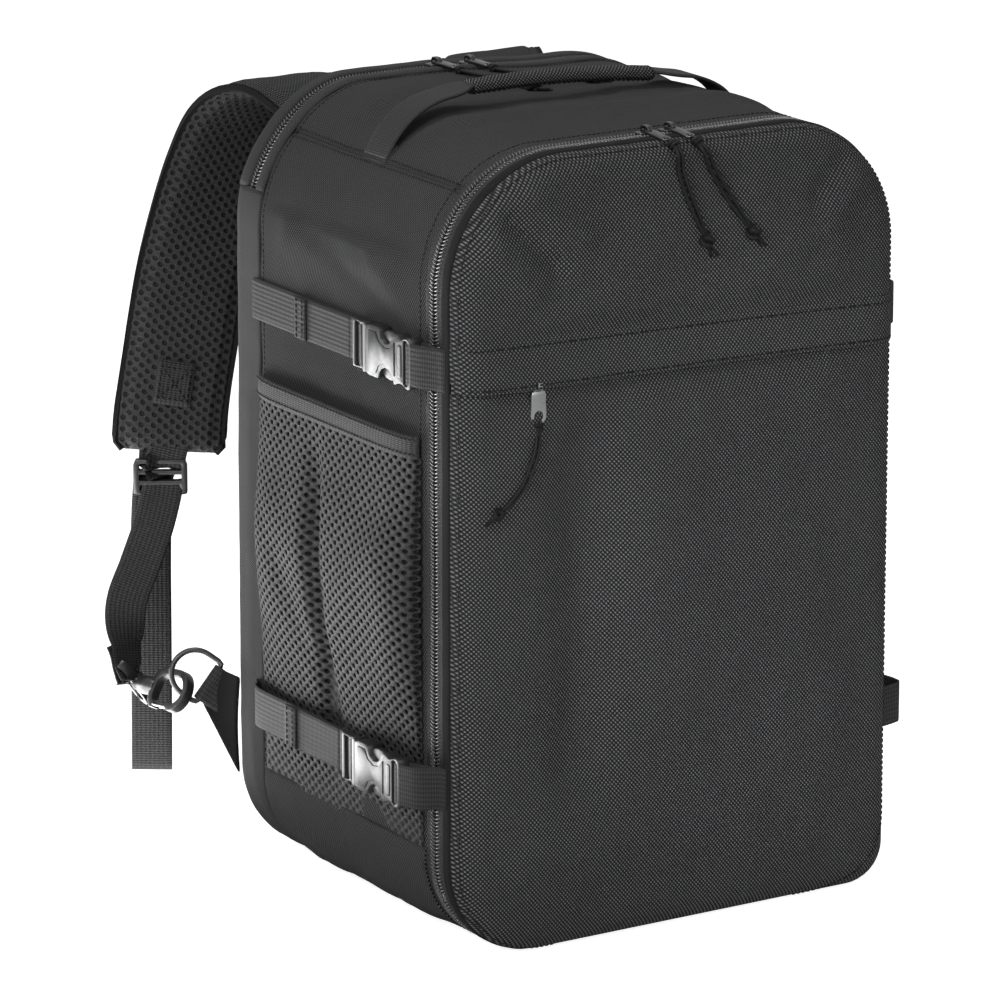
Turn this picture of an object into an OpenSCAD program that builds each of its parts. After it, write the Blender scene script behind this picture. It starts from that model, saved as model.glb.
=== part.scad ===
// Clamshell travel backpack: fabric shell with a full-height front lid, a laptop
// compartment, mesh side pockets, compression buckles and clip-off shoulder straps.
// Millimetres. +X is to the right seen from the front, the front faces -Y, +Z is up.
// The origin lies on the base plane, under the middle of the bag's width.

/* [Body] */
// Width across the side panels
body_w = 300; // [260:1:360]
// Height from the base to the top panel
body_h = 468; // [400:1:562]
// Radius of the two top corners
top_r = 75; // [50:1:90]
// Radius of the two bottom corners
base_r = 58; // [40:1:70]
// Depth of the main compartment, from the zip line to the rear seam
main_d = 195; // [162:1:234]
// Depth of the lid in front of the zip line
lid_d = 30; // [26:1:40]
// Depth of the laptop compartment behind the rear seam
laptop_d = 30; // [26:1:40]
// Thickness of the padded fabric walls
wall = 2.5; // [2.2:0.1:3.5]

/* [Zips] */
// Width of one row of zip teeth
rail_w = 2.6; // [2:0.1:3.2]
// Gap between the two rows of teeth
rail_gap = 1.2; // [1:0.1:1.6]
// Length of a zip slider
slider_l = 13; // [10:0.5:16]
// Length of a zip puller tab
tab_l = 24; // [18:1:30]
// Thickness of a pull cord
cord_t = 3; // [2.4:0.1:3.4]

/* [Webbing and buckles] */
// Width of the webbing
web_w = 25; // [20:0.5:25]
// Thickness of the webbing
web_t = 1.2; // [1:0.1:1.4]
// Height of the upper compression straps
strap_hi = 350; // [330:1:370]
// Height of the lower compression straps
strap_lo = 104; // [90:1:110]
// Length of a buckle socket
socket_l = 49; // [44:1:54]

/* [Pockets and carrying] */
// Height of the top edge of a mesh side pocket
pocket_top = 307; // [260:1:315]
// Largest stand-off of a mesh side pocket
pocket_bulge = 15; // [10:1:18]
// Width of a shoulder pad
pad_w = 65; // [54:1:70]
// Thickness of a shoulder pad
pad_t = 12; // [8:1:14]
// Length of the handle grip
grip_l = 124; // [100:1:140]
// Thickness of the handle grip
grip_t = 11; // [9:1:13]

/* [Hidden] */
$fn = 32;

// stations along the depth
y_zip = -90;
y_rear = y_zip + main_d;
y_back = y_rear + laptop_d;
y_front = y_zip - lid_d;
y_laptop_zip = y_rear + 13;
tape_w = 8;
band_w = 6;
clear = 0.3;
tape_t = 0.8;
rail_t = 2.8;
rail_in = 0.2;
seam_top = 47;
seam_base = 45;
zip_end_x = 85;
back_wall = 6;
sheet_t = 2;
divider_t = 3;
board_t = 2.5;
pad_depth = 12;
lap_low = 414;

// ---- outlines of the body, seen from the front ----
function arc(cx, cz, r, a0, a1, n = 10) =
    [for (i = [0:n]) let (a = a0 + (a1 - a0) * i / n) [cx + r * cos(a), cz + r * sin(a)]];
xt = body_w / 2 - top_r;
zt = body_h - top_r;
xb = body_w / 2 - base_r;
function outline(inset) = concat(arc(xt, zt, top_r - inset, 0, 90), arc(-xt, zt, top_r - inset, 90, 180),
    arc(-xb, base_r, base_r - inset, 180, 270), arc(xb, base_r, base_r - inset, 270, 360));

module slab(y0, y1) {
    translate([0, y1, 0]) rotate([90, 0, 0]) linear_extrude(y1 - y0) children();
}
module ring2d(in0, in1) {
    difference() {
        polygon(outline(in0));
        polygon(outline(in1));
    }
}
module top_sector() {
    reach = 250;
    polygon([[-xt, zt], [-xt - reach * cos(seam_top), zt + reach * sin(seam_top)],
        [xt + reach * cos(seam_top), zt + reach * sin(seam_top)], [xt, zt]]);
}
module base_sector() {
    reach = 250;
    polygon([[-xb, base_r], [-xb - reach * cos(seam_base), base_r - reach * sin(seam_base)],
        [xb + reach * cos(seam_base), base_r - reach * sin(seam_base)], [xb, base_r]]);
}
module side_sector() {
    reach = 250;
    polygon([[-xt, zt], [-xt - reach * cos(seam_top), zt + reach * sin(seam_top)],
        [-body_w * 1.2, body_h / 2],
        [-xb - reach * cos(seam_base), base_r - reach * sin(seam_base)], [-xb, base_r]]);
}
module box(x0, x1, y0, y1, z0, z1) {
    translate([x0, y0, z0]) cube([x1 - x0, y1 - y0, z1 - z0]);
}
module mirrored() {
    children();
    mirror([1, 0, 0]) children();
}

// ---- main compartment ----
module left_side_panel() color([0.13, 0.13, 0.135])
    slab(y_zip + tape_w, y_rear) intersection() {
        ring2d(0, wall);
        side_sector();
    }
module right_side_panel() mirror([1, 0, 0]) left_side_panel();
module top_panel() color([0.15, 0.15, 0.155])
    slab(y_zip + tape_w, y_rear) intersection() {
        ring2d(0, wall);
        top_sector();
    }
module bottom_panel() color([0.12, 0.12, 0.125]) {
    slab(y_zip + tape_w, y_rear) intersection() {
        ring2d(0, wall);
        base_sector();
    }
    box(-zip_end_x, zip_end_x, y_zip + clear, y_zip + tape_w, 0, wall);
}
module base_board() color([0.3, 0.3, 0.3])
    box(-xb, xb, y_zip + tape_w, y_rear - divider_t - 5, wall, wall + board_t);
module divider() color([0.2, 0.2, 0.2])
    slab(y_rear - divider_t - 2, y_rear - 2) polygon(outline(wall));
module rear_gusset() color([0.13, 0.13, 0.135]) {
    slab(y_rear, y_laptop_zip - tape_w + 4) ring2d(0, wall);
    slab(y_laptop_zip - tape_w + 4, y_back - back_wall) difference() {
        ring2d(0, wall);
        translate([-body_w, lap_low]) square([2 * body_w, body_h]);
    }
}
module back_panel() color([0.12, 0.12, 0.12]) {
    slab(y_back - back_wall, y_back) polygon(outline(0));
    slab(y_laptop_zip + tape_w - 4, y_back - back_wall) intersection() {
        ring2d(0, wall);
        translate([-body_w, lap_low]) square([2 * body_w, body_h]);
    }
}
module frame_sheet() color([0.25, 0.25, 0.25])
    slab(y_back - back_wall - sheet_t, y_back - back_wall) polygon(outline(14));
module back_pads() color([0.1, 0.1, 0.1]) mirrored() difference() {
    hull() {
        box(12, 122, y_back, y_back + 1, 40, 385);
        box(20, 114, y_back, y_back + pad_depth, 50, 375);
    }
}

// ---- zips ----
module zip_row(y0, tape_y0, tape_y1) {
    slab(y0, y0 + rail_w) difference() {
        ring2d(rail_in, rail_in + rail_t);
        translate([-zip_end_x, -1]) square([2 * zip_end_x, base_r / 2]);
    }
    slab(tape_y0, tape_y1) difference() {
        ring2d(rail_in + 1, rail_in + 1 + tape_t);
        translate([-zip_end_x, -1]) square([2 * zip_end_x, base_r / 2]);
    }
}
module main_zip_rear() color([0.1, 0.1, 0.1])
    zip_row(y_zip + rail_gap / 2, y_zip + rail_gap / 2 + rail_w, y_zip + tape_w);
module main_zip_front() color([0.1, 0.1, 0.1])
    zip_row(y_zip - rail_gap / 2 - rail_w, y_zip - tape_w, y_zip - rail_gap / 2 - rail_w);
module laptop_zip() color([0.1, 0.1, 0.1]) intersection() {
    union() {
        for (s = [-1, 1]) slab(y_laptop_zip + s * (rail_gap + rail_w) / 2 - rail_w / 2,
            y_laptop_zip + s * (rail_gap + rail_w) / 2 + rail_w / 2) ring2d(rail_in, rail_in + rail_t);
        slab(y_laptop_zip - 4, y_laptop_zip - rail_gap / 2 - rail_w)
            ring2d(rail_in + 1, rail_in + 1 + tape_t);
        slab(y_laptop_zip + rail_gap / 2 + rail_w, y_laptop_zip + 4)
            ring2d(rail_in + 1, rail_in + 1 + tape_t);
    }
    box(-body_w, body_w, y_rear, y_back, lap_low, body_h + 1);
}

// A slider straddles two rows of teeth that run along X with their outer face at z = 0.
// It is two plates, joined by a fin that runs in the gap, and a bridge for the puller.
slider_w = 8.4;
plate_t = 1.2;
bridge_h = 3.4;
pin_r = 0.9;
plate_out = clear - rail_in;
module slider() color([0.05, 0.05, 0.05]) {
    box(-slider_l / 2, slider_l / 2, -slider_w / 2, slider_w / 2, plate_out, plate_out + plate_t);
    box(-slider_l / 2, slider_l / 2, -slider_w / 2, slider_w / 2,
        -rail_in - rail_t - clear - plate_t, -rail_in - rail_t - clear);
    box(-slider_l / 2 + 1, slider_l / 2 - 1, -0.4, 0.4, -rail_in - rail_t - clear, plate_out);
    for (s = [-1, 1]) box(-1.2, 1.2, s * 3.2 - 0.8, s * 3.2 + 0.8, plate_out + plate_t,
        plate_out + plate_t + bridge_h);
    box(-1.2, 1.2, -4, 4, plate_out + plate_t + bridge_h - 1.4, plate_out + plate_t + bridge_h);
}
// Height of the puller's axis above the teeth
eye_z = plate_out + plate_t + 1;
// The puller hangs from the bridge: an eye bar under it and a tab towards -Y.
puller_w = 6;
puller_t = 1.5;
module puller(l) color([0.05, 0.05, 0.05]) {
    rotate([0, 90, 0]) cylinder(r = pin_r, h = 5.6, center = true);
    for (s = [-1, 1]) box(s * 2.2 - 0.6, s * 2.2 + 0.6, -6, 0, -0.4, 0.7);
    difference() {
        box(-puller_w / 2, puller_w / 2, -l, -5, -puller_t / 2, puller_t / 2);
        box(-1.5, 1.5, -l + 2, -l + 5.5, -puller_t, puller_t);
    }
}

main_x = [-8, 8];
laptop_x = [-20, 3];
pocket_x = -101;
flap_z = 341;
tab_tilt = 5;
module at_main(i) translate([main_x[i], y_zip, body_h]) children();
module at_laptop(i) translate([laptop_x[i], y_laptop_zip, body_h]) children();
module at_pocket() translate([pocket_x, y_front, flap_z]) rotate([90, 0, 0]) children();
module main_left_slider() at_main(0) slider();
module main_right_slider() at_main(1) slider();
module laptop_left_slider() at_laptop(0) slider();
module laptop_right_slider() at_laptop(1) slider();
module pocket_slider() at_pocket() slider();
module main_left_puller() at_main(0) translate([0, 0, eye_z]) rotate([tab_tilt, 0, 0]) puller(tab_l);
module main_right_puller() at_main(1) translate([0, 0, eye_z]) rotate([tab_tilt, 0, 0]) puller(tab_l);
module laptop_left_puller() at_laptop(0) translate([0, 0, eye_z]) puller(tab_l);
module laptop_right_puller() at_laptop(1) translate([0, 0, eye_z]) puller(tab_l);
module pocket_puller() at_pocket() translate([0, 0, eye_z]) puller(tab_l);

// ---- sweeps along chosen points: cords, webbing and pads ----
function unit(v) = v / norm(v);
function tangent(p, i) = unit(p[min(i + 1, len(p) - 1)] - p[max(i - 1, 0)]);
// section: points [u, n] in the plane of the across direction and the normal
module sweep(path, across, section) {
    n = len(section);
    pts = [for (i = [0:len(path) - 1]) let (t = tangent(path, i),
        nn = unit(cross(t, across[i])), uu = cross(nn, t))
        for (s = section) path[i] + uu * s[0] + nn * s[1]];
    sides = [for (i = [0:len(path) - 2], k = [0:n - 1])
        [i * n + k, i * n + (k + 1) % n, (i + 1) * n + (k + 1) % n, (i + 1) * n + k]];
    caps = [[for (k = [n - 1:-1:0]) k], [for (k = [0:n - 1]) (len(path) - 1) * n + k]];
    polyhedron(points = pts, faces = concat(sides, caps), convexity = 8);
}
function round_section(d, n = 8) = [for (k = [0:n - 1]) let (a = -360 * (k + 0.5) / n) [d / 2 * cos(a), d / 2 * sin(a)]];
function flat_section(w, t) = [[w / 2, -t / 2], [-w / 2, -t / 2], [-w / 2, t / 2], [w / 2, t / 2]];
function pad_section(w, t) = [[w / 2 - 5, -t / 2], [-w / 2 + 5, -t / 2], [-w / 2, -t / 6], [-w / 2, t / 6],
    [-w / 2 + 5, t / 2], [w / 2 - 5, t / 2], [w / 2, t / 6], [w / 2, -t / 6]];

// ---- pull cords, each a doubled cord drawn as one tube from the end of its puller ----
main_left_route = [[-8, -114.6, 468.2], [-7.6, -119, 466.6], [-6.8, -122.5, 463], [-5.6, -124.4, 457],
    [-3.6, -125, 450], [-1, -125, 442], [2, -124.6, 433], [5, -124, 424], [9, -123.6, 413]];
main_right_route = [[8, -114.6, 468.2], [9, -119, 466.6], [11, -122.5, 463], [14, -124.4, 457],
    [17.6, -125, 450], [22, -125, 442], [27, -124.6, 433], [32.6, -124, 424], [39, -123.6, 414]];
laptop_left_route = [[-20, 92.4, 470.3], [-19.4, 86, 470], [-17, 78, 470], [-13, 69, 470],
    [-8, 61, 470], [-3, 54, 470], [1, 46, 470]];
laptop_right_route = [[3, 92.4, 470.3], [5, 86, 470], [10, 78, 470], [18, 70, 470], [27, 63, 470],
    [36, 57, 470], [44, 50, 470]];
pocket_route = [[-101, -122.3, 315.4], [-101.4, -122.2, 309], [-103.4, -122.1, 301],
    [-107, -122, 292], [-112, -122, 283], [-119, -122, 275], [-127, -122, 268]];
module cord(route) color([0.06, 0.06, 0.06])
    sweep(route, [for (p = route) [1, 0.3, 0.2]], round_section(cord_t));
module main_left_cord() cord(main_left_route);
module main_right_cord() cord(main_right_route);
module laptop_left_cord() cord(laptop_left_route);
module laptop_right_cord() cord(laptop_right_route);
module pocket_cord() cord(pocket_route);

// ---- lid ----
dome = 14;
module lid_shell() {
    difference() {
        hull() {
            slab(y_zip - tape_w - band_w - 1, y_zip - tape_w - band_w) polygon(outline(0));
            slab(y_front + 6, y_front + 7) polygon(outline(4));
            slab(y_front, y_front + 1) polygon(outline(dome));
        }
        hull() {
            slab(y_zip - tape_w - band_w - 1, y_zip - tape_w - band_w + 1) polygon(outline(wall));
            slab(y_front + 6, y_front + 7) polygon(outline(4 + wall));
            slab(y_front + wall, y_front + wall + 1) polygon(outline(dome + wall));
        }
    }
}
zip_slot = 2 * rail_w + rail_gap;
flap_lip = 5;
flap_top = 366;
flap_fold = 338;
module front_panel() color([0.15, 0.15, 0.155]) {
    intersection() {
        lid_shell();
        box(-body_w, body_w, y_front - 1, y_zip, flap_z + zip_slot / 2, body_h + 1);
    }
}
module zip_flap() color([0.14, 0.14, 0.145])
    translate([-(body_w / 2 - 16), 0, 0]) rotate([90, 0, 90]) linear_extrude(body_w - 32)
        polygon([[y_front, flap_top], [y_front, flap_top - 6], [y_front - flap_lip, flap_top - 12],
            [y_front - flap_lip, flap_fold], [y_front - flap_lip - web_t, flap_fold],
            [y_front - flap_lip - web_t, flap_top - 10], [y_front - web_t, flap_top]]);
module pocket_panel() color([0.15, 0.15, 0.155]) intersection() {
    lid_shell();
    box(-body_w, body_w, y_front - 1, y_zip, -1, flap_z - zip_slot / 2);
}
module pocket_zip() color([0.1, 0.1, 0.1]) for (s = [-1, 1]) {
    box(-xb - 30, xb + 30, y_front + rail_in, y_front + wall,
        flap_z + s * (rail_gap + rail_w) / 2 - rail_w / 2, flap_z + s * (rail_gap + rail_w) / 2 + rail_w / 2);
    box(-xb - 30, xb + 30, y_front + wall, y_front + wall + tape_t,
        flap_z + s * (rail_gap / 2 + rail_w + 1.5) - 2.5, flap_z + s * (rail_gap / 2 + rail_w + 1.5) + 2.5);
}
module lid_gusset() color([0.11, 0.11, 0.11]) {
    slab(y_zip - tape_w - band_w, y_zip - tape_w) ring2d(0, wall);
    box(-zip_end_x, zip_end_x, y_zip - tape_w, y_zip - clear, 0, wall);
}
module lid_lining() color([0.3, 0.3, 0.32])
    slab(y_zip - tape_w - band_w + 1, y_zip - tape_w - band_w + 2) polygon(outline(wall));

// ---- compression buckles. Local: x = stand-off from the panel, y and z as the bag's ----
strap_out = 8.8;
socket_y0 = y_zip + 10;
socket_y1 = socket_y0 + socket_l;
socket_h = web_w + 5;
socket_in = 0.8;
socket_t = 9;
loop_t = 2 * web_t;
frame_y0 = socket_y1 + clear;
frame_l = 18;
frame_y1 = frame_y0 + frame_l;
module at_buckle(side, z) {
    out = z == strap_lo ? strap_out : 0;
    if (side < 0) mirror([1, 0, 0]) translate([body_w / 2 + out, 0, z]) children();
    else translate([body_w / 2 + out, 0, z]) children();
}
module socket() color([0.07, 0.07, 0.07]) difference() {
    box(socket_in, socket_in + socket_t, socket_y0, socket_y1, -socket_h / 2, socket_h / 2);
    box(socket_in + 1.8, socket_in + socket_t - 1.8, socket_y0 + 9, socket_y1 + 1,
        -socket_h / 2 + 2.6, socket_h / 2 - 2.6);
    box(socket_in - 1, socket_in + socket_t + 1, socket_y0 + 3, socket_y0 + 7,
        -web_w / 2 - 0.4, web_w / 2 + 0.4);
    box(socket_in + 1.8, socket_in + socket_t - 1.8, socket_y0 + 18, socket_y1 - 14,
        -socket_h, socket_h);
    box(-1, socket_in + 2.4, socket_y0 - 1, socket_y0 + 3.5, -web_w / 2 - 0.4, web_w / 2 + 0.4);
    box(socket_in + socket_t - 2.8, socket_in + socket_t + 1, socket_y0 - 1, socket_y0 + 3.5,
        -web_w / 2 - 0.4, web_w / 2 + 0.4);
}
prong_tip = socket_y0 + 18.5;
module prongs() color([0.07, 0.07, 0.07]) {
    for (s = [-1, 1]) {
        box(socket_in + 2.6, socket_in + 6.4, prong_tip, frame_y0, s * (socket_h / 2 - 5.2) - 1.4,
            s * (socket_h / 2 - 5.2) + 1.4);
        box(socket_in + 2.6, socket_in + 6.4, prong_tip + 0.5, socket_y1 - 15, s * (socket_h / 2 - 2.6) - 1.6,
            s * (socket_h / 2 - 2.6) + 1.6);
    }
    box(socket_in + 2.6, socket_in + 6.4, socket_y0 + 20, frame_y0, -1.5, 1.5);
}
module frame() color([0.07, 0.07, 0.07]) {
    h = socket_h - 1;
    box(socket_in + 1, socket_in + socket_t - 0.8, frame_y0, frame_y0 + 3.6, -h / 2, h / 2);
    for (s = [-1, 1]) box(socket_in + 1, socket_in + 6.6, frame_y0 + 3.6, frame_y1, s * (h / 2 - 0.85) - 0.85,
        s * (h / 2 - 0.85) + 0.85);
    box(2.4, 4.4, frame_y0 + 7, frame_y0 + 10, -h / 2 + 1.6, h / 2 - 1.6);
    box(3.7, 6.4, frame_y1 - 3, frame_y1, -h / 2 + 1.6, h / 2 - 1.6);
}
// The strap comes from the rear seam, turns round the frame's middle bar and ends as a tail.
lay_in = 0.3;
lay_out = lay_in + web_t + 0.3;
tail_y = 57;
module compression_strap(out) color([0.16, 0.16, 0.16]) translate([0, 0, -web_w / 2]) linear_extrude(web_w) {
    bend = frame_y0 + 5.2;
    top = 4.4 + clear;
    polygon([[lay_in, bend], [lay_in + web_t, bend], [lay_in + web_t, y_rear - 1],
        [web_t - out, y_rear + 9], [-out, y_rear + 9], [-out, y_rear + 7], [lay_in, y_rear - 2]]);
    translate([lay_in, bend]) square([top + web_t - lay_in, web_t]);
    translate([top, bend]) square([web_t, 5.6]);
    polygon([[top, bend + 5.1], [top + web_t, bend + 5.6], [lay_out + web_t, bend + 8.4],
        [lay_out, bend + 8.4], [lay_out, bend + 7.4]]);
    translate([lay_out, bend + 7.4]) square([web_t, tail_y - bend - 7.4]);
    translate([lay_out + web_t, tail_y - 12]) square([web_t, 12]);
}
// The loop is sewn to the lid and holds the socket by its front bar.
module buckle_loop(out) color([0.16, 0.16, 0.16]) translate([0, 0, -web_w / 2]) linear_extrude(web_w) {
    low = socket_in + 0.7;
    high = socket_in + socket_t - 2.4;
    bar = socket_y0 + 3 + clear;
    foot = y_zip - tape_w - 1;
    polygon([[-out, foot - 5], [-out, foot], [low, socket_y0 - 6], [low, bar + web_t], [high + web_t, bar + web_t],
        [high + web_t, socket_y0 - 6], [web_t * 2 - out, foot - 5]]);
}
module loop_eye(out) translate([0, 0, -web_w]) linear_extrude(2 * web_w) {
    low = socket_in + 0.7 + web_t;
    high = socket_in + socket_t - 2.4;
    polygon([[low, socket_y0 - 4], [low, socket_y0 + 3 + clear], [high, socket_y0 + 3 + clear],
        [high, socket_y0 - 4]]);
}
module each_buckle() for (side = [-1, 1], z = [strap_hi, strap_lo]) at_buckle(side, z) children();
module buckle_sockets() each_buckle() socket();
module buckle_loops() for (side = [-1, 1], z = [strap_hi, strap_lo]) at_buckle(side, z) {
    out = z == strap_lo ? strap_out : 0;
    difference() {
        buckle_loop(out);
        loop_eye(out);
    }
}
module compression_straps() for (side = [-1, 1], z = [strap_hi, strap_lo]) at_buckle(side, z)
    compression_strap(z == strap_lo ? strap_out : 0);
module left_upper_frame() at_buckle(-1, strap_hi) frame();
module right_upper_frame() at_buckle(1, strap_hi) frame();
module left_lower_frame() at_buckle(-1, strap_lo) frame();
module right_lower_frame() at_buckle(1, strap_lo) frame();
module left_upper_prongs() at_buckle(-1, strap_hi) prongs();
module right_upper_prongs() at_buckle(1, strap_hi) prongs();
module left_lower_prongs() at_buckle(-1, strap_lo) prongs();
module right_lower_prongs() at_buckle(1, strap_lo) prongs();

// ---- mesh side pockets ----
pocket_y0 = y_zip + 12;
pocket_y1 = y_rear - 2;
pocket_z0 = 60;
mesh_t = 1.5;
binding_h = 13;
mouth_out = 8;
module pocket_form(grow, lift) hull() {
    box(-1, 2 - grow, pocket_y0 + grow, pocket_y1 - grow, pocket_z0 + grow, pocket_top - binding_h + lift);
    box(0, mouth_out - grow, pocket_y0 + 8 + grow, pocket_y1 - 8 - grow, pocket_z0 + 150,
        pocket_top - binding_h + lift);
    box(0, pocket_bulge - grow, pocket_y0 + 25, pocket_y1 - 25, pocket_z0 + 145, pocket_z0 + 165);
}
module mesh_pocket() color([0.08, 0.08, 0.085]) translate([body_w / 2, 0, 0]) difference() {
    pocket_form(0, 0);
    pocket_form(mesh_t, 5);
    box(-2, 0, pocket_y0 - 1, pocket_y1 + 1, pocket_z0 - 1, pocket_top);
}
module right_mesh_pocket() mesh_pocket();
module left_mesh_pocket() mirror([1, 0, 0]) mesh_pocket();
module pocket_bindings() color([0.14, 0.14, 0.14]) mirrored()
    translate([body_w / 2, 0, pocket_top - binding_h]) linear_extrude(binding_h) difference() {
        polygon([[0, pocket_y0], [2, pocket_y0], [mouth_out, pocket_y0 + 8], [mouth_out, pocket_y1 - 8],
            [2, pocket_y1], [0, pocket_y1]]);
        polygon([[-1, pocket_y0 + 2], [1.6, pocket_y0 + 2], [mouth_out - 1.6, pocket_y0 + 9],
            [mouth_out - 1.6, pocket_y1 - 9], [1.6, pocket_y1 - 2], [-1, pocket_y1 - 2]]);
    }

// ---- shoulder straps (left one, mirrored for the right) ----
pad_path = [[-54, 141.5, 392], [-54, 147, 411], [-57, 161, 431], [-63, 182, 446], [-71, 204, 452],
    [-80, 223, 446], [-89, 237, 429], [-97, 244, 402], [-107, 247, 365], [-117, 248, 325],
    [-126, 246, 285], [-134, 243, 250], [-137, 241, 226]];
pad_across = [[1, 0, 0], [1, 0, 0], [1, 0, 0], [1, 0, 0], [1, 0, 0], [1, -0.08, 0], [1, -0.18, 0],
    [1, -0.3, 0], [1, -0.42, 0], [1, -0.52, 0], [1, -0.6, 0], [1, -0.62, 0], [1, -0.62, 0]];
strand_path = [[-144.9, 238.6, 197], [-152, 235, 182], [-163, 229, 162], [-173, 221, 136], [-180, 216, 114]];
strand_across = [[1, -0.62, 0], [1, -0.62, 0], [1, -0.5, -0.2], [0.9, -0.3, -0.5], [0.75, -0.15, -0.7]];
tail_path = [[-144.1, 247.4, 208], [-147, 247.4, 170], [-149, 245, 110], [-150, 244, 60], [-151, 243, 24]];
tail_across = [for (p = tail_path) [1, -0.62, 0]];
lock_z = 209;
module left_shoulder_pad() sweep(pad_path, pad_across, pad_section(pad_w, pad_t));
module shoulder_pads() color([0.11, 0.11, 0.115]) mirrored() left_shoulder_pad();
module shoulder_webbing() color([0.15, 0.15, 0.15]) mirrored() {
    sweep(strand_path, strand_across, flat_section(web_w, web_t));
    sweep(tail_path, tail_across, flat_section(web_w, web_t));
}
module at_lock() translate([-143, 241.5, lock_z]) rotate([0, 0, -31.8]) children();
module ladder_locks() color([0.07, 0.07, 0.07]) mirrored() at_lock() difference() {
    box(-web_w / 2 - 4, web_w / 2 + 4, -3, 3, -9, 16);
    box(-web_w / 2 - 0.4, web_w / 2 + 0.4, -4, 4, 6, 9.6);
    box(-web_w / 2 - 0.4, web_w / 2 + 0.4, -4, 4, -0.4, 2.8);
}

// The hook's axis runs from the strap's eye to the ring: local x, with the loop in local xy.
eye_at = [-180.6, 210.2, 93.3];
hook_turn = [-119.6, -6.3, -84.8];
eye_turn = [35.5, -6.3, -84.8];
neck_r = 2.2;
head_r = 3.6;
barrel_r = 5.6;
barrel_x = 9;
hook_w = 26;
hook_t = 6;
hook_bar = 3.8;
hook_x0 = 22;
hook_x1 = 46;
module at_hook() translate(eye_at) rotate(hook_turn) children();
module hook_eyes() color([0.07, 0.07, 0.07]) mirrored() translate(eye_at) rotate(eye_turn) {
    difference() {
        box(-5, 5, -3, 3, -web_w / 2 - 4, web_w / 2 + 4);
        box(-2, 2, -6, 6, -web_w / 2 - 0.4, web_w / 2 + 0.4);
    }
    translate([5, 0, 0]) rotate([0, 90, 0]) cylinder(r = neck_r, h = 9);
    translate([14, 0, 0]) rotate([0, 90, 0]) cylinder(r = head_r, h = 3);
}
module hook_profile() difference() {
    union() {
        translate([hook_x0, -hook_w / 2]) square([hook_x1 - hook_x0, hook_w]);
        translate([hook_x1, 0]) circle(r = hook_w / 2);
    }
    translate([hook_x0 + 4, -hook_w / 2 + hook_bar]) square([hook_x1 - hook_x0 - 4, hook_w - 2 * hook_bar]);
    translate([hook_x1, 0]) circle(r = hook_w / 2 - hook_bar);
    translate([hook_x0 + 5, 1]) square([hook_x1 - hook_x0 - 9, hook_w]);
}
module hook() color([0.07, 0.07, 0.07]) {
    translate([0, 0, -hook_t / 2]) linear_extrude(hook_t) hook_profile();
    difference() {
        translate([barrel_x, 0, 0]) rotate([0, 90, 0]) cylinder(r = barrel_r, h = hook_x0 - barrel_x);
        translate([barrel_x - 1, 0, 0]) rotate([0, 90, 0]) cylinder(r = neck_r + clear, h = 7);
        translate([14 - clear, 0, 0]) rotate([0, 90, 0]) cylinder(r = head_r + clear, h = 3 + 2 * clear);
    }
}
gate_pin = [hook_x0 + 7.4, hook_w / 2 - 2.2];
module gate() color([0.6, 0.6, 0.6]) {
    translate([gate_pin[0], gate_pin[1], -hook_t / 2 + 0.6]) cylinder(r = 2, h = hook_t - 1.2);
    box(gate_pin[0], hook_x1 - 4.4, gate_pin[1] - 1.2, gate_pin[1] + 1.2, -hook_t / 2 + 1, hook_t / 2 - 1);
}
module left_hook() at_hook() hook();
module right_hook() mirror([1, 0, 0]) at_hook() hook();
module left_gate() at_hook() gate();
module right_gate() mirror([1, 0, 0]) at_hook() gate();

// The D-ring stands out from the rear seam: local x points from its webbing bar to its round end.
ring_at = [-161.2, 154, 104.6];
ring_turn = [18.3, -33.4, 137.6];
ring_t = 3.4;
module at_ring() translate(ring_at) rotate(ring_turn) children();
module d_rings() color([0.07, 0.07, 0.07]) mirrored() at_ring() translate([0, ring_t / 2, 0]) rotate([90, 0, 0])
    linear_extrude(ring_t) difference() {
        d_shape(-ring_t, web_w / 2 + ring_t);
        d_shape(0, web_w / 2);
    }
module d_shape(x0, r) {
    translate([x0, -r]) square([9 - x0, 2 * r]);
    intersection() {
        translate([9, 0]) circle(r = r);
        translate([9, -r]) square([r, 2 * r]);
    }
}
// The tab is a folded triangle of fabric, sewn into the rear seam, that holds the ring's bar.
module d_ring_tabs() color([0.13, 0.13, 0.13]) mirrored() difference() {
    hull() {
        box(-body_w / 2 - 2, -body_w / 2, y_back - 6, y_back, 50, 112);
        at_ring() box(-ring_t - clear - 1, -ring_t - clear, -1, 1, -web_w / 2 + 1, web_w / 2 - 1);
    }
    at_ring() box(-ring_t - clear, 3 * web_w, -2 * web_w, 2 * web_w, -2 * web_w, 2 * web_w);
}

// ---- top handle: a tube grip on two flat ends that rise a little when it is held ----
grip_z = body_h + 12;
grip_y = 14;
foot_x = 121;
foot_z = 451.5;
module handle_grip() color([0.13, 0.13, 0.13])
    translate([-grip_l / 2, grip_y, grip_z]) rotate([0, 90, 0]) cylinder(r = grip_t / 2, h = grip_l);
module handle_webbing() color([0.16, 0.16, 0.16]) mirrored()
    sweep([[-grip_l / 2 - 0.5, grip_y, grip_z], [-76, grip_y, grip_z - 1], [-92, grip_y, grip_z - 6],
        [-106, grip_y, grip_z - 15], [-foot_x, grip_y, foot_z + 2]],
        [for (i = [0:4]) [0, 1, 0]], flat_section(web_w, web_t));

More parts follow.
